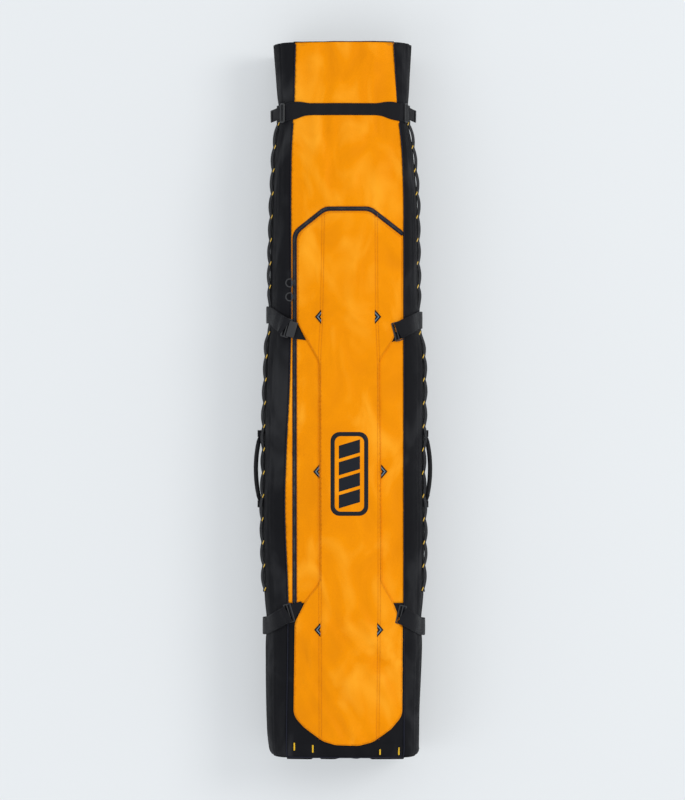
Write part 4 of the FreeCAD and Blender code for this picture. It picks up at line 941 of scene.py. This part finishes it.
def lid_panel():
    path = zip_path(-TAPE, LID_RIGHT)
    outline = [(LID_RIGHT, y) for y in np.arange(ZIP_BOTTOM, path[-1][1], PLAN_STEP)] + path[::-1]
    shell_sheet("lid_panel", outline, "lid_cloth", "shell_orange")


OVERLAY_TOP, OVERLAY_THICK, OVERLAY_INSET = 2.4, 1.7, 8.5
# Where the tabs of the four side straps come out from under the overlay, and how they lift it:
# reach across and along the bag, and height.
TAB_SPREAD, TAB_RISE = (30, 32), 2.8
TAB_SPOTS = ((-122, 178), (126, 176), (-118, -578), (128, -582))


def overlay_lift(x, y):
    """Height of the overlay over the front cloth: it rises over the strap tabs below it."""
    x, y = np.asarray(x, float), np.asarray(y, float)
    wide, high = TAB_SPREAD
    rise = sum(np.exp(-((x - a) / wide) ** 2 - ((y - b) / high) ** 2) for a, b in TAB_SPOTS)
    return OVERLAY_TOP + TAB_RISE * rise


def overlay_outline(grow=0.0):
    """Plan outline of the overlay, moved outwards by grow."""
    path = [p for p in zip_path(-OVERLAY_INSET + grow, 156.5) if p[1] > OVERLAY_FOOT[0][1]]
    foot = rounded(list(OVERLAY_FOOT), 45)
    if grow:
        foot = shifted(foot, -grow)
    return foot + path[::-1]


def zip_line_on_front(offset, limit, lift):
    """Dense line of points along the zipper, on the front cloth."""
    row = np.array(dense(zip_path(offset, limit), 4.0, closed=False))
    return on_front(row[:, 0], row[:, 1], lift)


def overlay():
    piece = front_sheet("front_overlay", overlay_outline(), M["shell_orange"], overlay_lift,
                        OVERLAY_THICK, spacing=7.0)
    placed(piece, "lid_cloth", "shell_orange", "lid_overlay", "base_overlay")


def seam_stitching():
    """Rows of stitches round the overlay, along its two long seams and beside the zipper."""
    rows = [dense(overlay_outline(-2.6), 4.0)]
    for seam, low, high in ((seam_left, -900, 500), (seam_right, -900, 495)):
        for beside in (-3.2, 3.2):
            rows.append([(float(seam(y)) + beside, float(y)) for y in np.arange(low, high, 4.0)])
    lines = []
    for row in rows:
        row = np.array(row)
        lines.append(on_front(row[:, 0], row[:, 1], overlay_lift(row[:, 0], row[:, 1])))
    piece = stitches("overlay_stitching", lines, M["thread_orange"])
    placed(piece, "lid_cloth", "shell_orange")
    for name, offset, body in (("lid_zipper_stitching", -TAPE - 1.4, "lid_cloth"),
                               ("frame_zipper_stitching", FRAME_TAPE + 1.3, "root")):
        line = zip_line_on_front(offset, 156, 0.0)
        placed(stitches(name, [line], M["thread_orange"]), body, "shell_orange")


surround()
base_panel()
lid_panel()
overlay()
seam_stitching()

# ---- zipper

TOOTH_PITCH = 2.6
TOOTH = (3.0, 1.5, 2.0)


def plan_band(name, one, two, material, lift, thickness):
    """Narrow band between two plan lines, laid on the front."""
    one, two = np.array(dense(one, 5.0, closed=False)), np.array(two)
    nearest = [nearest_on_line(two, p) for p in one]
    rows = [on_front(np.linspace(a[0], b[0], 4), np.linspace(a[1], b[1], 4), lift)
            for a, b in zip(one, nearest)]
    piece = grid_piece(name, np.array(rows), material)
    if piece.data.polygons[0].normal.z < 0:
        piece.data.flip_normals()
    return thicken(piece, thickness)


def nearest_on_line(line, point):
    """Nearest point to a point on a polyline."""
    best, found = 1e9, None
    for a, b in zip(line, line[1:]):
        run = b - a
        part = np.clip(np.dot(point - a, run) / max(np.dot(run, run), 1e-9), 0, 1)
        here = a + run * part
        away = np.sum((here - point) ** 2)
        if away < best:
            best, found = away, here
    return found


def zipper():
    for name, body, inner, outer in (("lid_zipper_tape", "lid_cloth", -0.3, -TAPE - 0.6),
                                     ("frame_zipper_tape", "root", 0.3, FRAME_TAPE + 0.6)):
        piece = plan_band(name, zip_path(inner, 159), zip_path(outer, 159), M["zipper_tape"],
                          0.7, 1.6)
        placed(piece, body, "zipper_tape", name)
    for name, body, offset, start in (("lid_zipper_coil", "lid_cloth", -1.25, 0.0),
                                      ("frame_zipper_coil", "root", 1.25, TOOTH_PITCH / 2)):
        line = zip_line_on_front(offset, 158, 1.2)
        frames = [(centre, across, run, across.cross(run)) for centre, run, across, _ in
                  frames_along(line, TOOTH_PITCH, (0, 0, 1), start * MM)]
        teeth = blocks(name, frames, TOOTH, M["zipper_coil"], 0.35)
        placed(teeth, body, "zipper_coil", name)


zipper()

# ---- piping along the front seams

PIPING_RADIUS, PIPING_INSET, PIPING_RISE = 1.6, 0.2, 1.6
CINCH_GAP = 26.5


def piping():
    tubes = []
    for side in (-1, 1):
        for low, high in ((HEEL + 4, CINCH - CINCH_GAP), (CINCH + CINCH_GAP, CREST - 3)):
            ys = np.arange(low, high, 6.0)
            path = leaned(on_side(side, np.zeros(len(ys)), ys))
            path[:, 0] -= side * PIPING_INSET * MM
            path[:, 2] += PIPING_RISE * MM
            tubes.append(tube("piping", path, PIPING_RADIUS, M["piping_black"], 10))
    xs = np.linspace(-float(SEAM_X[-1](HEEL)) + 1, float(SEAM_X[1](HEEL)) - 1, 60)
    foot = on_front(xs, np.full(len(xs), HEEL + 1.6), 0.2)
    tubes.append(tube("piping", foot, PIPING_RADIUS, M["piping_black"], 10))
    grouped("seam_piping", tubes, "root", "piping_black")


piping()

# ---- webbing

WEBBING = 1.6
# Turn round the side and lift over the fabric of a strap that hugs it.
WRAP = ((1 / 6, 6.5), (2 / 6, 5), (3 / 6, 3.5), (4 / 6, 3.5), (5 / 6, 7.5), (1, 8.5), (1.25, 3.5),
        (1.5, 1.8), (1.75, 1.4))


def smooth_rows(points, step):
    """Smooth curve through rows of numbers, a point about every step of the first three."""
    points = np.array(points, float)
    gone = np.concatenate([[0], np.linalg.norm(np.diff(points[:, :3], axis=0), axis=1).cumsum()])
    fine = np.linspace(0, gone[-1], max(3, int(gone[-1] / step)))
    return np.stack([monotone(gone, points[:, i])(fine) for i in range(points.shape[1])], axis=-1)


def route_axes(route):
    """Points, normals, runs and unit crosswise directions of a route."""
    points, normals = route[:, :3], route[:, 3:6]
    runs = np.gradient(points, axis=0)
    across = np.cross(runs, normals)
    across /= np.linalg.norm(across, axis=1)[:, None]
    return points, normals, runs, across


def ribbon(name, route, width, material, thickness=WEBBING, columns=7, crown=0.25):
    """Webbing along a route of rows: point and normal in millimetres. Width is a number or one
    for each row; the ribbon's middle stands proud by the crown."""
    points, _, runs, across = route_axes(route)
    up = np.cross(across, runs)
    up /= np.linalg.norm(up, axis=1)[:, None]
    widths = np.broadcast_to(np.asarray(width, float), (len(points),))
    part = np.linspace(-0.5, 0.5, columns)
    grid = (points[:, None, :] + across[:, None, :] * (widths[:, None] * part)[:, :, None]
            + up[:, None, :] * (crown * (1 - (2 * part) ** 2))[None, :, None])
    piece = grid_piece(name, grid * MM, material)
    middle = piece.data.polygons[len(piece.data.polygons) // 2]
    row = len(points) // 2
    if middle.normal.dot(Vector(up[row])) < 0:
        piece.data.flip_normals()
    thicken(piece, thickness)
    return bevelled(piece, 0.35, 1, 50)


def edge_stitches(name, route, width, lift):
    """Two rows of stitches along a ribbon's edges."""
    points, normals, _, across = route_axes(route)
    lines = [(points + across * side * (width / 2 - STITCH_INSET) + normals * lift) * MM
             for side in (-1, 1)]
    return stitches(name, lines, M["thread_black"], up=Vector(normals[len(normals) // 2]), lift=0.1)


def side_normal(side, turn):
    angle = math.radians(90 * turn)
    return (side * math.sin(angle), 0.0, math.cos(angle))


def hugging(side, y, steps, bend=1.0):
    """Route rows round a side: each step is a turn, a lift over the cloth and a shift along the
    bag. Bend turns the rows' normals by only a part of the side's own turn."""
    rows = []
    for turn, lift, shift in steps:
        point = on_side(side, turn, y + shift, lift, relief=False) / MM
        rows.append((*point, *side_normal(side, turn * bend)))
    return rows


def strap_route(side, lock, end_y, lead):
    """Route of a side strap: out of its lock, over the front seam and round the side. Lead is the
    stretch, across the bag, from the lock's middle to the first free point of the strap."""
    x0, y0, z0 = lock
    reach = float(REACH[side](end_y))
    slope = (end_y - y0) / (reach - x0)
    rows = [(side * (x0 + lead * k), y0 + lead * k * slope, z0, side * 0.12, 0, 1) for k in (0.2, 1)]
    for turn, lift in WRAP:
        x = side * on_side(side, turn, end_y, lift, relief=False)[0] / MM
        y = y0 + (end_y - y0) * min(1.0, max(0.0, (x - x0) / (reach - x0)))
        if turn > 1:
            y = end_y
        point = on_side(side, turn, y, lift, relief=False) / MM
        if side * point[0] > x0 + lead + 4:
            rows.append((*point, *side_normal(side, turn)))
    return smooth_rows(rows, 3.0)


STRAP_WIDTH = 45
# Name, side, lock's middle across and along the bag, height of the strap at the lock, place of the
# strap's end along the bag, and slope of the lock in plan.
STRAPS = (
    ("strap_upper_left", -1, (150, 190, 243.2), 226, 0.29),
    ("strap_upper_right", 1, (143.5, 180, 246.0), 212, 0.25),
    ("strap_lower_left", -1, (143, -566, 243.0), -604, -0.29),
    ("strap_lower_right", 1, (154, -570, 242.5), -606, -0.25),
)


def side_straps():
    for name, side, lock, end_y, _ in STRAPS:
        route = strap_route(side, lock, end_y, 9)
        piece = ribbon(name, route, STRAP_WIDTH, M["webbing_black"])
        second = route[: len(route) // 4].copy()
        second[:, :3] += second[:, 3:6] * 1.9
        tail = ribbon(name + "_fold", second, STRAP_WIDTH - 0.6, M["webbing_black"])
        rows = edge_stitches(name + "_stitching", second[2:], STRAP_WIDTH, 0.25)
        body = "over_hinge" if name == "strap_upper_right" else "root"
        grouped(name, [piece, tail, rows], body, "webbing_black")


side_straps()

for name, body in (("buckle_upper_left", "root"), ("buckle_upper_right", "lid"),
                   ("base_buckles", "root"), ("cinch_buckles", "root"),
                   ("hook_upper_left", "lid")):
    copied(name, body, "buckle_black", 0.8, 3)
TAB_WIDTH, TAB_THICK = 42, 1.4


# Black gores between the overlay's upper wings and the straps, in plan.
TAB_GORES = ([(-122.5, 203), (-122.5, 161), (-98, 157)],
             [(129, 152), (160, 164), (160, 211), (156, 211)])


def strap_tabs():
    """Webbing from each lock's inner bar down to the cloth and in under the overlay."""
    tabs = []
    for name, side, (x0, y0, z0), _, slope in STRAPS:
        rows = []
        for inward, height in ((4, None), (9, 2.6), (16, 1.9), (26, 1.75), (38, 1.7)):
            x, y = side * (x0 - inward), y0 - inward * slope
            z = z0 - 1.2 if height is None else on_front(x, y, height)[2] / MM
            if height is not None and inward < 12:
                z = (z + z0 - 1.2) / 2
            rows.append((x, y, z, 0, 0, 1))
        route = smooth_rows(rows, 2.5)
        tab = ribbon(name + "_tab", route, TAB_WIDTH, M["webbing_black"], TAB_THICK)
        tabs.append((name, tab))
    upper = [tab for name, tab in tabs if "upper" in name]
    for outline in TAB_GORES:
        upper.append(front_sheet("gore", outline, M["webbing_black"], 1.5, 1.4, spacing=4.0))
    lower = [tab for name, tab in tabs if "lower" in name]
    grouped("lid_tabs", upper, "lid", "webbing_black")
    grouped("base_tabs", lower, "root", "webbing_black")


strap_tabs()

# ---- cinch strap

BAND_MIDDLE, BAND_END, BAND_RISE = 32, 47, 9
ANCHOR_WIDTH, TAIL_WIDTH = 44, 32
# Turn round the side, lift over the cloth and shift along the bag.
ANCHOR_STEPS = ((0.5, 4.2, 0), (0.62, 3.4, 0), (0.75, 5.5, 0), (0.9, 5.5, 0), (1.05, 4.0, 0),
                (1.25, 2.4, 0), (1.5, 1.6, 0), (1.75, 1.3, 0))
TAIL_STEPS = ((0.50, 7.5, 0), (0.60, 9.5, -1), (0.72, 13.0, -3), (0.84, 17.0, -5),
              (0.95, 20.0, -6))


def cinch():
    rows = []
    for side in (-1, 1):
        part = hugging(side, CINCH, ((0.40, 5.0, 0), (0.30, 4.6, 0), (0.18, 4.2, 0),
                                     (0.06, 4.6, 0)))
        edge = float(SEAM_X[side](CINCH)) - 12
        xs = np.arange(edge, 0 if side < 0 else 10, -12.0)
        for x in xs:
            point = on_front(side * x, CINCH, 2.2) / MM
            blend_in = float(ramp(abs(x), edge - 40, edge))
            point[2] += 1.6 * blend_in
            part.append((*point, 0.02 * side, 0, 1))
        rows += part if side < 0 else part[::-1]
    route = smooth_rows(rows, 3.0)
    x = np.abs(route[:, 0])
    widths = BAND_MIDDLE + (BAND_END - BAND_MIDDLE) * ramp(x, 84, 136)
    route[:, 1] += BAND_RISE * (1 - ramp(x, 105, 165))
    band = ribbon("cinch_strap", route, widths, M["webbing_black"], 2.2, columns=11, crown=0.8)
    lines = []
    for side in (-1, 1):
        line = route[:, :3].copy()
        line[:, 1] += side * (widths / 2 - 2.5)
        line[:, 2] += 0.35
        lines.append(line * MM)
    rows = stitches("cinch_stitching", lines, M["thread_black"], lift=0.2)
    grouped("cinch_strap", [band, rows], "root", "webbing_black")


def cinch_ends():
    anchors, tails = [], []
    for side in (-1, 1):
        route = smooth_rows(hugging(side, CINCH, ANCHOR_STEPS), 3.0)
        anchors.append(ribbon("cinch_anchor", route, ANCHOR_WIDTH, M["webbing_black"]))
        route = smooth_rows(hugging(side, CINCH, TAIL_STEPS, 0.8), 2.5)
        tail = ribbon("cinch_tail", route, TAIL_WIDTH, M["webbing_black"])
        hem = route[-7:].copy()
        hem[:, :3] += hem[:, 3:6] * 1.8
        fold = ribbon("cinch_hem", hem, TAIL_WIDTH - 0.4, M["webbing_black"])
        tails += [tail, fold]
    grouped("cinch_anchors", anchors, "root", "webbing_black")
    grouped("cinch_tails", tails, "root", "webbing_black")


cinch()
cinch_ends()

# ---- lash chains and bar tacks

DAISY_TURN, DAISY_WIDTH, DAISY_PITCH, DAISY_BULGE = 0.8, 24, 62, 6.0
DAISY_TOP, DAISY_LOOPS = 735, 20
TACK_OFFSET, TACK_LIFT, TACK_SLANT = -11.0, 4.0, 0.6
TACK_THREAD = (4.0, 1.1, 0.9)
FOOT_TACKS = ((-129, -920), (-80, -925), (98, -931), (148, -932))
UPPER_STRAP_END = {side: end for name, side, _, end, _ in STRAPS if "upper" in name}


def daisy_lift(side, y):
    """Height of the chain's webbing over the fabric."""
    part = (DAISY_TOP - y) / DAISY_PITCH
    bulge = DAISY_BULGE * np.abs(np.sin(np.pi * part)) ** 0.8
    loop = np.floor(part)
    bulge = bulge * (0.85 + 0.25 * rough(loop * 3.7, side * 5.0, 0.5))
    free = 1 - bell(y - UPPER_STRAP_END[side], 42) ** 0.5
    return 1.9 + bulge * np.clip(free * 1.4 - 0.1, 0, 1)


def daisy_point(side, y, offset, lift):
    """Point on the chain: offset is the way across it from its middle line."""
    centre = on_side(side, DAISY_TURN, y, 0.0) / MM
    normal = np.array(side_normal(side, DAISY_TURN))
    down = np.array((side * normal[2], 0, -abs(normal[0])))
    return centre + normal * np.asarray(lift)[..., None] + down * np.asarray(offset)[..., None]


def tack(place, along, across, normal, length, threads):
    """Frames of a bar tack: short threads side by side over a length in millimetres."""
    parts = [(k + 0.5) / threads - 0.5 for k in range(threads)]
    return [(place + along * (length * part * MM), across, along, normal) for part in parts]


def chains():
    bands, frames = [], []
    for side in (-1, 1):
        ys = np.arange(DAISY_TOP + 8, DAISY_TOP - DAISY_PITCH * DAISY_LOOPS - 8, -3.1)
        offsets = np.linspace(-DAISY_WIDTH / 2, DAISY_WIDTH / 2, 7)
        y, offset = np.meshgrid(ys, offsets, indexing="ij")
        lift = daisy_lift(side, y) + 0.3 * (1 - (offset / 12) ** 2)
        band = grid_piece("chain", daisy_point(side, y, offset, lift) * MM, M["webbing_black"],
                          flip=side > 0)
        bands.append(bevelled(thicken(band, WEBBING), 0.3, 1, 50))
        normal = Vector(side_normal(side, DAISY_TURN))
        down = Vector((side * normal.z, 0, -abs(normal.x)))
        for loop in range(DAISY_LOOPS + 1):
            y = DAISY_TOP - DAISY_PITCH * loop
            if abs(y - UPPER_STRAP_END[side]) < 30:
                continue
            spot = daisy_point(side, y, np.array(TACK_OFFSET), np.array(TACK_LIFT))
            slant = TACK_SLANT * side
            along = (down * math.cos(slant) + Vector((0, math.sin(slant), 0))).normalized()
            frames += tack(Vector(spot * MM), along, normal.cross(along), normal, 15, 16)
    grouped("daisy_chains", bands, "root", "webbing_black")
    for x, y in FOOT_TACKS:
        spot = Vector(on_front(x, y, 0.5))
        frames += tack(spot, Vector((0, 1, 0)), Vector((1, 0, 0)), Vector((0, 0, 1)), 20, 21)
    piece = blocks("bar_tacks", frames, TACK_THREAD, M["thread_yellow"], 0.3)
    placed(piece, "root", "thread_yellow", "bar_tacks")


chains()

# ---- lash loops and the mark

LOOP_REACH, LOOP_HALF = 9.5, 11
# Body, seam place, middle along the bag, side and base lift of each loop.
LOOPS = (("lid", -58, 219, -1, OVERLAY_TOP), ("lid", 85, 219, 1, OVERLAY_TOP),
         ("lid", -62.8, -191, -1, 0.0), ("lid", 101.5, -191, 1, 0.0),
         ("base", -60, -610, -1, OVERLAY_TOP), ("base", 91, -610, 1, OVERLAY_TOP))


def loop_outline(seam, middle, side, width):
    """Outline of an angle-shaped loop, pointing away from the bag's middle."""
    line = [(seam, middle + LOOP_HALF), (seam + side * (LOOP_REACH - 2), middle + 2.3),
            (seam + side * LOOP_REACH, middle), (seam + side * (LOOP_REACH - 2), middle - 2.3),
            (seam, middle - LOOP_HALF)]

    def cut(points):
        ends = []
        for a, b in ((points[0], points[1]), (points[-1], points[-2])):
            part = (seam - a[0]) / (b[0] - a[0])
            ends.append((seam, a[1] + (b[1] - a[1]) * part))
        return [ends[0]] + list(points[1:-1]) + [ends[1]]

    return cut(shifted(line, width / 2)) + cut(shifted(line, -width / 2))[::-1]


def lash_loops():
    made = {"lid": [], "base": []}
    for place, seam, middle, side, low in LOOPS:
        for width, lift, thick, material in ((10.0, 1.5, 1.2, "webbing_black"),
                                             (2.8, 2.1, 0.7, "loop_grey")):
            outline = loop_outline(seam, middle, side, width)
            piece = front_sheet("loop", outline, M[material], low + lift, thick, spacing=2.4)
            made[place].append(piece)
    grouped("lid_lash_loops", made["lid"], "lid", "loop_grey")
    grouped("base_lash_loops", made["base"], "root", "loop_grey")


MARK_CENTRE, MARK_SIZE, MARK_LINE = (17, -197), (100, 222), 11
MARK_BARS, MARK_SLOPE, MARK_GAP = 4, 0.6, 9


def mark():
    """Plain printed panel: a rounded frame with slanting bars."""
    cx, cy = MARK_CENTRE
    pieces = []

    def frame_line(inset, radius):
        half_x, half_y = MARK_SIZE[0] / 2 - inset, MARK_SIZE[1] / 2 - inset
        points = []
        for quarter in range(4):
            sx, sy = ((1, 1), (-1, 1), (-1, -1), (1, -1))[quarter]
            for k in range(7):
                angle = math.pi / 2 * (quarter + k / 6)
                points.append((cx + sx * (half_x - radius) + radius * math.cos(angle),
                               cy + sy * (half_y - radius) + radius * math.sin(angle)))
        return points

    def lay(x, y):
        return on_front(x, y, OVERLAY_TOP + 0.35)

    ring = plan_sheet("mark", frame_line(0, 24), lay, 5.0, M["print_black"],
                      holes=(frame_line(MARK_LINE, 16),))
    pieces.append(ring)
    half_x, half_y = MARK_SIZE[0] / 2 - 2 * MARK_LINE, MARK_SIZE[1] / 2 - 2 * MARK_LINE - 6
    bar = (2 * half_y + MARK_GAP) / MARK_BARS - MARK_GAP
    rise = MARK_SLOPE * half_x
    for k in range(MARK_BARS):
        low = cy - half_y + k * (bar + MARK_GAP)
        outline = [(cx - half_x, low - rise / 2), (cx + half_x, low + rise / 2),
                   (cx + half_x, low + bar + rise / 2), (cx - half_x, low + bar - rise / 2)]
        pieces.append(plan_sheet("bar", outline, lay, 5.0, M["print_black"]))
    for piece in pieces:
        thicken(piece, 0.3)
    placed(joined("printed_mark", pieces), "lid_cloth", "shell_black")


lash_loops()
mark()

# ---- zipper sliders and pulls

for which in ("upper", "lower"):
    copied("zipper_slider_" + which, "slider_" + which, "zipper_metal", 0.5, 3)
    copied("zipper_pull_" + which, "pull_" + which, "pull_cord", 1.0, 4)

# ---- handles

HANDLE_SPAN, HANDLE_RISE, HANDLE_RADIUS, HANDLE_END_RADIUS, HANDLE_END = 166, 10, 6, 3.9, 20


def joint_place(name):
    """Place of a joint's axis in millimetres."""
    found = [joint for joint in frame["joints"] if joint["name"] == name][0]
    return [value / MM for value in found["pos_m"]]


def side_handle(side, name):
    """Padded grab handle: webbing rolled round a core, sewn along its outer side."""
    x0, y0, z0 = joint_place(name + "_handle_hinge")
    half = HANDLE_SPAN / 2
    big = (half**2 + HANDLE_RISE**2) / (2 * HANDLE_RISE)
    ys = np.linspace(-half - HANDLE_END + 3, half + HANDLE_END - 3, 91)
    bow = np.where(np.abs(ys) < half, HANDLE_RISE - big + np.sqrt(
        np.maximum(big**2 - ys**2, 0)), 0)
    path = np.stack([x0 + side * bow, y0 + ys, np.full(len(ys), z0)], axis=-1)
    plump = ramp(half - np.abs(ys), -4, 22)
    radius = HANDLE_END_RADIUS + (HANDLE_RADIUS - HANDLE_END_RADIUS) * plump
    radius = radius + 0.18 * rough(ys / 13, side * 3.0, 1.0) * plump
    grip = tube("grip", path * MM, radius, M["handle_grip"], 20)
    free = np.abs(ys) < half - 8
    lines = []
    for angle in (-0.5, 0.5):
        line = path[free].copy()
        line[:, 0] += side * radius[free] * math.cos(angle)
        line[:, 2] += radius[free] * math.sin(angle)
        lines.append(line * MM)
    seam = stitches("seam", lines, M["thread_black"], up=(side, 0, 0), lift=0.1)
    sleeve = []
    for end in (-1, 1):
        place = (ys * end > half - 16) & (ys * end < half + 1)
        sleeve.append(tube("collar", path[place] * MM, radius[place] + 0.8,
                           M["webbing_black"], 20))
    grouped("side_handle_" + name, [grip, seam] + sleeve, "side_handle_" + name, "handle_grip")


side_handle(-1, "left")
side_handle(1, "right")
copied("handle_anchors", "root", "webbing_black", 1.2, 3)
copied("top_handle_anchors", "root", "webbing_black", 0.7, 2)
copied("top_haul_handle", "top_handle", "webbing_black", 0.7, 3)

# ---- wheels, wheel base and rails

WHEEL_RADIUS, TYRE_WIDTH, HUB_RADIUS, HUB_WIDTH, AXLE_HOLE = 38, 28, 28, 24, 6
SPOKES = 6


def lathe(name, profile, centre, material, segments=72):
    """Turned piece on an axis along X: the profile is places along the axis and radii, in mm."""
    points, faces = [], []
    for k in range(segments):
        angle = 2 * math.pi * k / segments
        points += [(centre[0] + x, centre[1] + r * math.cos(angle), centre[2] + r * math.sin(angle))
                   for x, r in profile]
    count = len(profile)
    for k in range(segments):
        after = (k + 1) % segments
        for i in range(count):
            j = (i + 1) % count
            faces.append((k * count + i, k * count + j, after * count + j, after * count + i))
    piece = new_object(name, np.array(points) * MM, faces, material)
    return smooth_by_angle(box_mapped(piece), 32)


def tyre_profile():
    """Tread with two grooves, rounded shoulders and a bore that grips the hub."""
    half = TYRE_WIDTH / 2
    shoulder = [(half - 5 + 5 * math.sin(a), WHEEL_RADIUS - 5 + 5 * math.cos(a))
                for a in np.linspace(math.pi / 2, 0, 7)]
    tread = []
    for groove in (5.0, -5.0):
        tread += [(groove + 1.4, WHEEL_RADIUS), (groove + 0.8, WHEEL_RADIUS - 2.2),
                  (groove - 0.8, WHEEL_RADIUS - 2.2), (groove - 1.4, WHEEL_RADIUS)]
    other = [(-x, r) for x, r in reversed(shoulder)]
    return [(half, HUB_RADIUS + 0.2)] + shoulder + tread + other + [(-half, HUB_RADIUS + 0.2)]


def hub_profile():
    """Rim, thin web set back from both faces and a boss round the bearings."""
    half = HUB_WIDTH / 2
    side = [(half, HUB_RADIUS), (half, HUB_RADIUS - 3), (half - 7, HUB_RADIUS - 5), (half - 7, 16),
            (half - 1, 14), (half, 13.5), (half, 11.2), (half - 7, 11.2), (half - 7, AXLE_HOLE)]
    return side + [(-x, r) for x, r in reversed(side)]


def wheel(name):
    centre = joint_place(name + "_wheel_spin")
    body = "wheel_" + name
    placed(lathe("tyre_" + name, tyre_profile(), centre, M["tyre_rubber"]), body, "tyre_rubber",
           "tyre_" + name)
    pieces = [lathe("hub", hub_profile(), centre, M["hub_plastic"])]
    frames = []
    for face in (-1, 1):
        for k in range(SPOKES):
            angle = 2 * math.pi * k / SPOKES
            out = Vector((0, math.cos(angle), math.sin(angle)))
            middle = Vector(centre) + out * 18.5 + Vector((face * (HUB_WIDTH / 2 - 4.6), 0, 0))
            frames.append((middle * MM, out, Vector((1, 0, 0)).cross(out), Vector((1, 0, 0))))
    pieces.append(blocks("spokes", frames, (11, 4, 6), M["hub_plastic"], 0.15))
    grouped("hub_" + name, pieces, body, "hub_plastic")


wheel("left")
wheel("right")
copied("wheel_chassis", "root", "chassis_plastic", 1.5, 3)
copied("skid_rails", "root", "rail_plastic", 1.6, 3)
copied("axles", "root", "steel", 0.5, 2)

# ---- inside

PAD_VOXEL, PAD_PRESSURE, PAD_FRAMES, PAD_CAP = 6.0, 4.0, 16, 7.0
PAD_START, CHANNEL_WIDTH, CHANNEL_DEPTH = 0.96, 9, 0.62


def puffed(name, low, high, channels, material):
    """Padded panel filling a box: swollen by cloth simulation, then drawn in along its channels."""
    low, high = np.array(low) / MM, np.array(high) / MM
    mesh = bmesh.new()
    bmesh.ops.create_cube(mesh, size=1.0)
    middle, size = (low + high) / 2, (high - low) * PAD_START
    for vertex in mesh.verts:
        vertex.co = Vector([(middle[i] + vertex.co[i] * size[i]) * MM for i in range(3)])
    data = bpy.data.meshes.new(name)
    mesh.to_mesh(data)
    mesh.free()
    piece = bpy.data.objects.new(name, data)
    bpy.context.scene.collection.objects.link(piece)
    data.materials.append(material)
    remesh = piece.modifiers.new("grid", "REMESH")
    remesh.mode = "VOXEL"
    remesh.voxel_size = PAD_VOXEL * MM
    piece = applied(piece)
    rest = np.array([tuple(v.co) for v in piece.data.vertices])
    sim = piece.modifiers.new("cloth", "CLOTH")
    sim.settings.use_pressure = True
    sim.settings.uniform_pressure_force = PAD_PRESSURE
    sim.settings.effector_weights.gravity = 0
    sim.settings.quality = 4
    for step in range(1, PAD_FRAMES + 1):
        bpy.context.scene.frame_set(step)
    piece = applied(piece)
    bpy.context.scene.frame_set(1)
    thin = int(np.argmin(size))
    along = 1 if thin != 1 else 0
    for vertex, start in zip(piece.data.vertices, rest):
        move = np.array(vertex.co) - start
        length = np.linalg.norm(move)
        if length > PAD_CAP * MM:
            move *= PAD_CAP * MM / length
        place = start + move
        centre = middle[thin] * MM
        pinch = sum(math.exp(-((place[along] / MM - c) / CHANNEL_WIDTH) ** 2) for c in channels)
        place[thin] = centre + (place[thin] - centre) * (1 - CHANNEL_DEPTH * min(pinch, 1))
        place = np.minimum(np.maximum(place, low * MM), high * MM)
        vertex.co = Vector(place)
    smoother = piece.modifiers.new("smooth", "SUBSURF")
    smoother.levels = smoother.render_levels = 1
    piece = applied(piece)
    piece.data.shade_smooth()
    return box_mapped(piece)


def spread(low, high, count):
    """Places of the sewn channels between two ends, in millimetres."""
    return [low / MM + (high - low) / MM * k / count for k in range(1, count)]


def inside_pieces():
    low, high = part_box("back_foam")
    foam = puffed("back_foam", low, high, spread(low.y, high.y, 14), M["foam_grey"])
    placed(foam, "root", "foam_grey", "back_foam")
    low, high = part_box("end_pads")
    heel_high = (high.x, low.y + 0.018, 0.182)
    pads = [puffed("heel_pad", (low.x, low.y, 0.062), heel_high, spread(low.x, high.x, 4),
                   M["foam_grey"]),
            puffed("top_pad", (low.x, high.y - 0.018, low.z), (high.x, high.y, 0.176),
                   spread(low.x, high.x, 4), M["foam_grey"])]
    pads = joined("end_pads", pads)
    placed(pads, "root", "foam_grey", "end_pads")
    copied("ski_straps", "root", "webbing_black", 0.4, 1)
    copied("ski_strap_buckles", "root", "buckle_black", 0.6, 2)
    outline = rounded([(-100, 200), (-100, 400), (130, 400), (130, 40), (-100, 40), (-100, 200)],
                      20)[:-1]
    pocket = front_sheet("lid_mesh_pocket", outline, M["mesh_black"], -5.2, 1.2)
    edge = np.array(dense(outline, 5.0))
    binding = tube("pocket_binding", on_front(edge[:, 0], edge[:, 1], -5.8), 2.2,
                   M["webbing_black"], 8, closed=True)
    grouped("lid_mesh_pocket", [pocket, binding], "lid_cloth", "mesh_black")


inside_pieces()
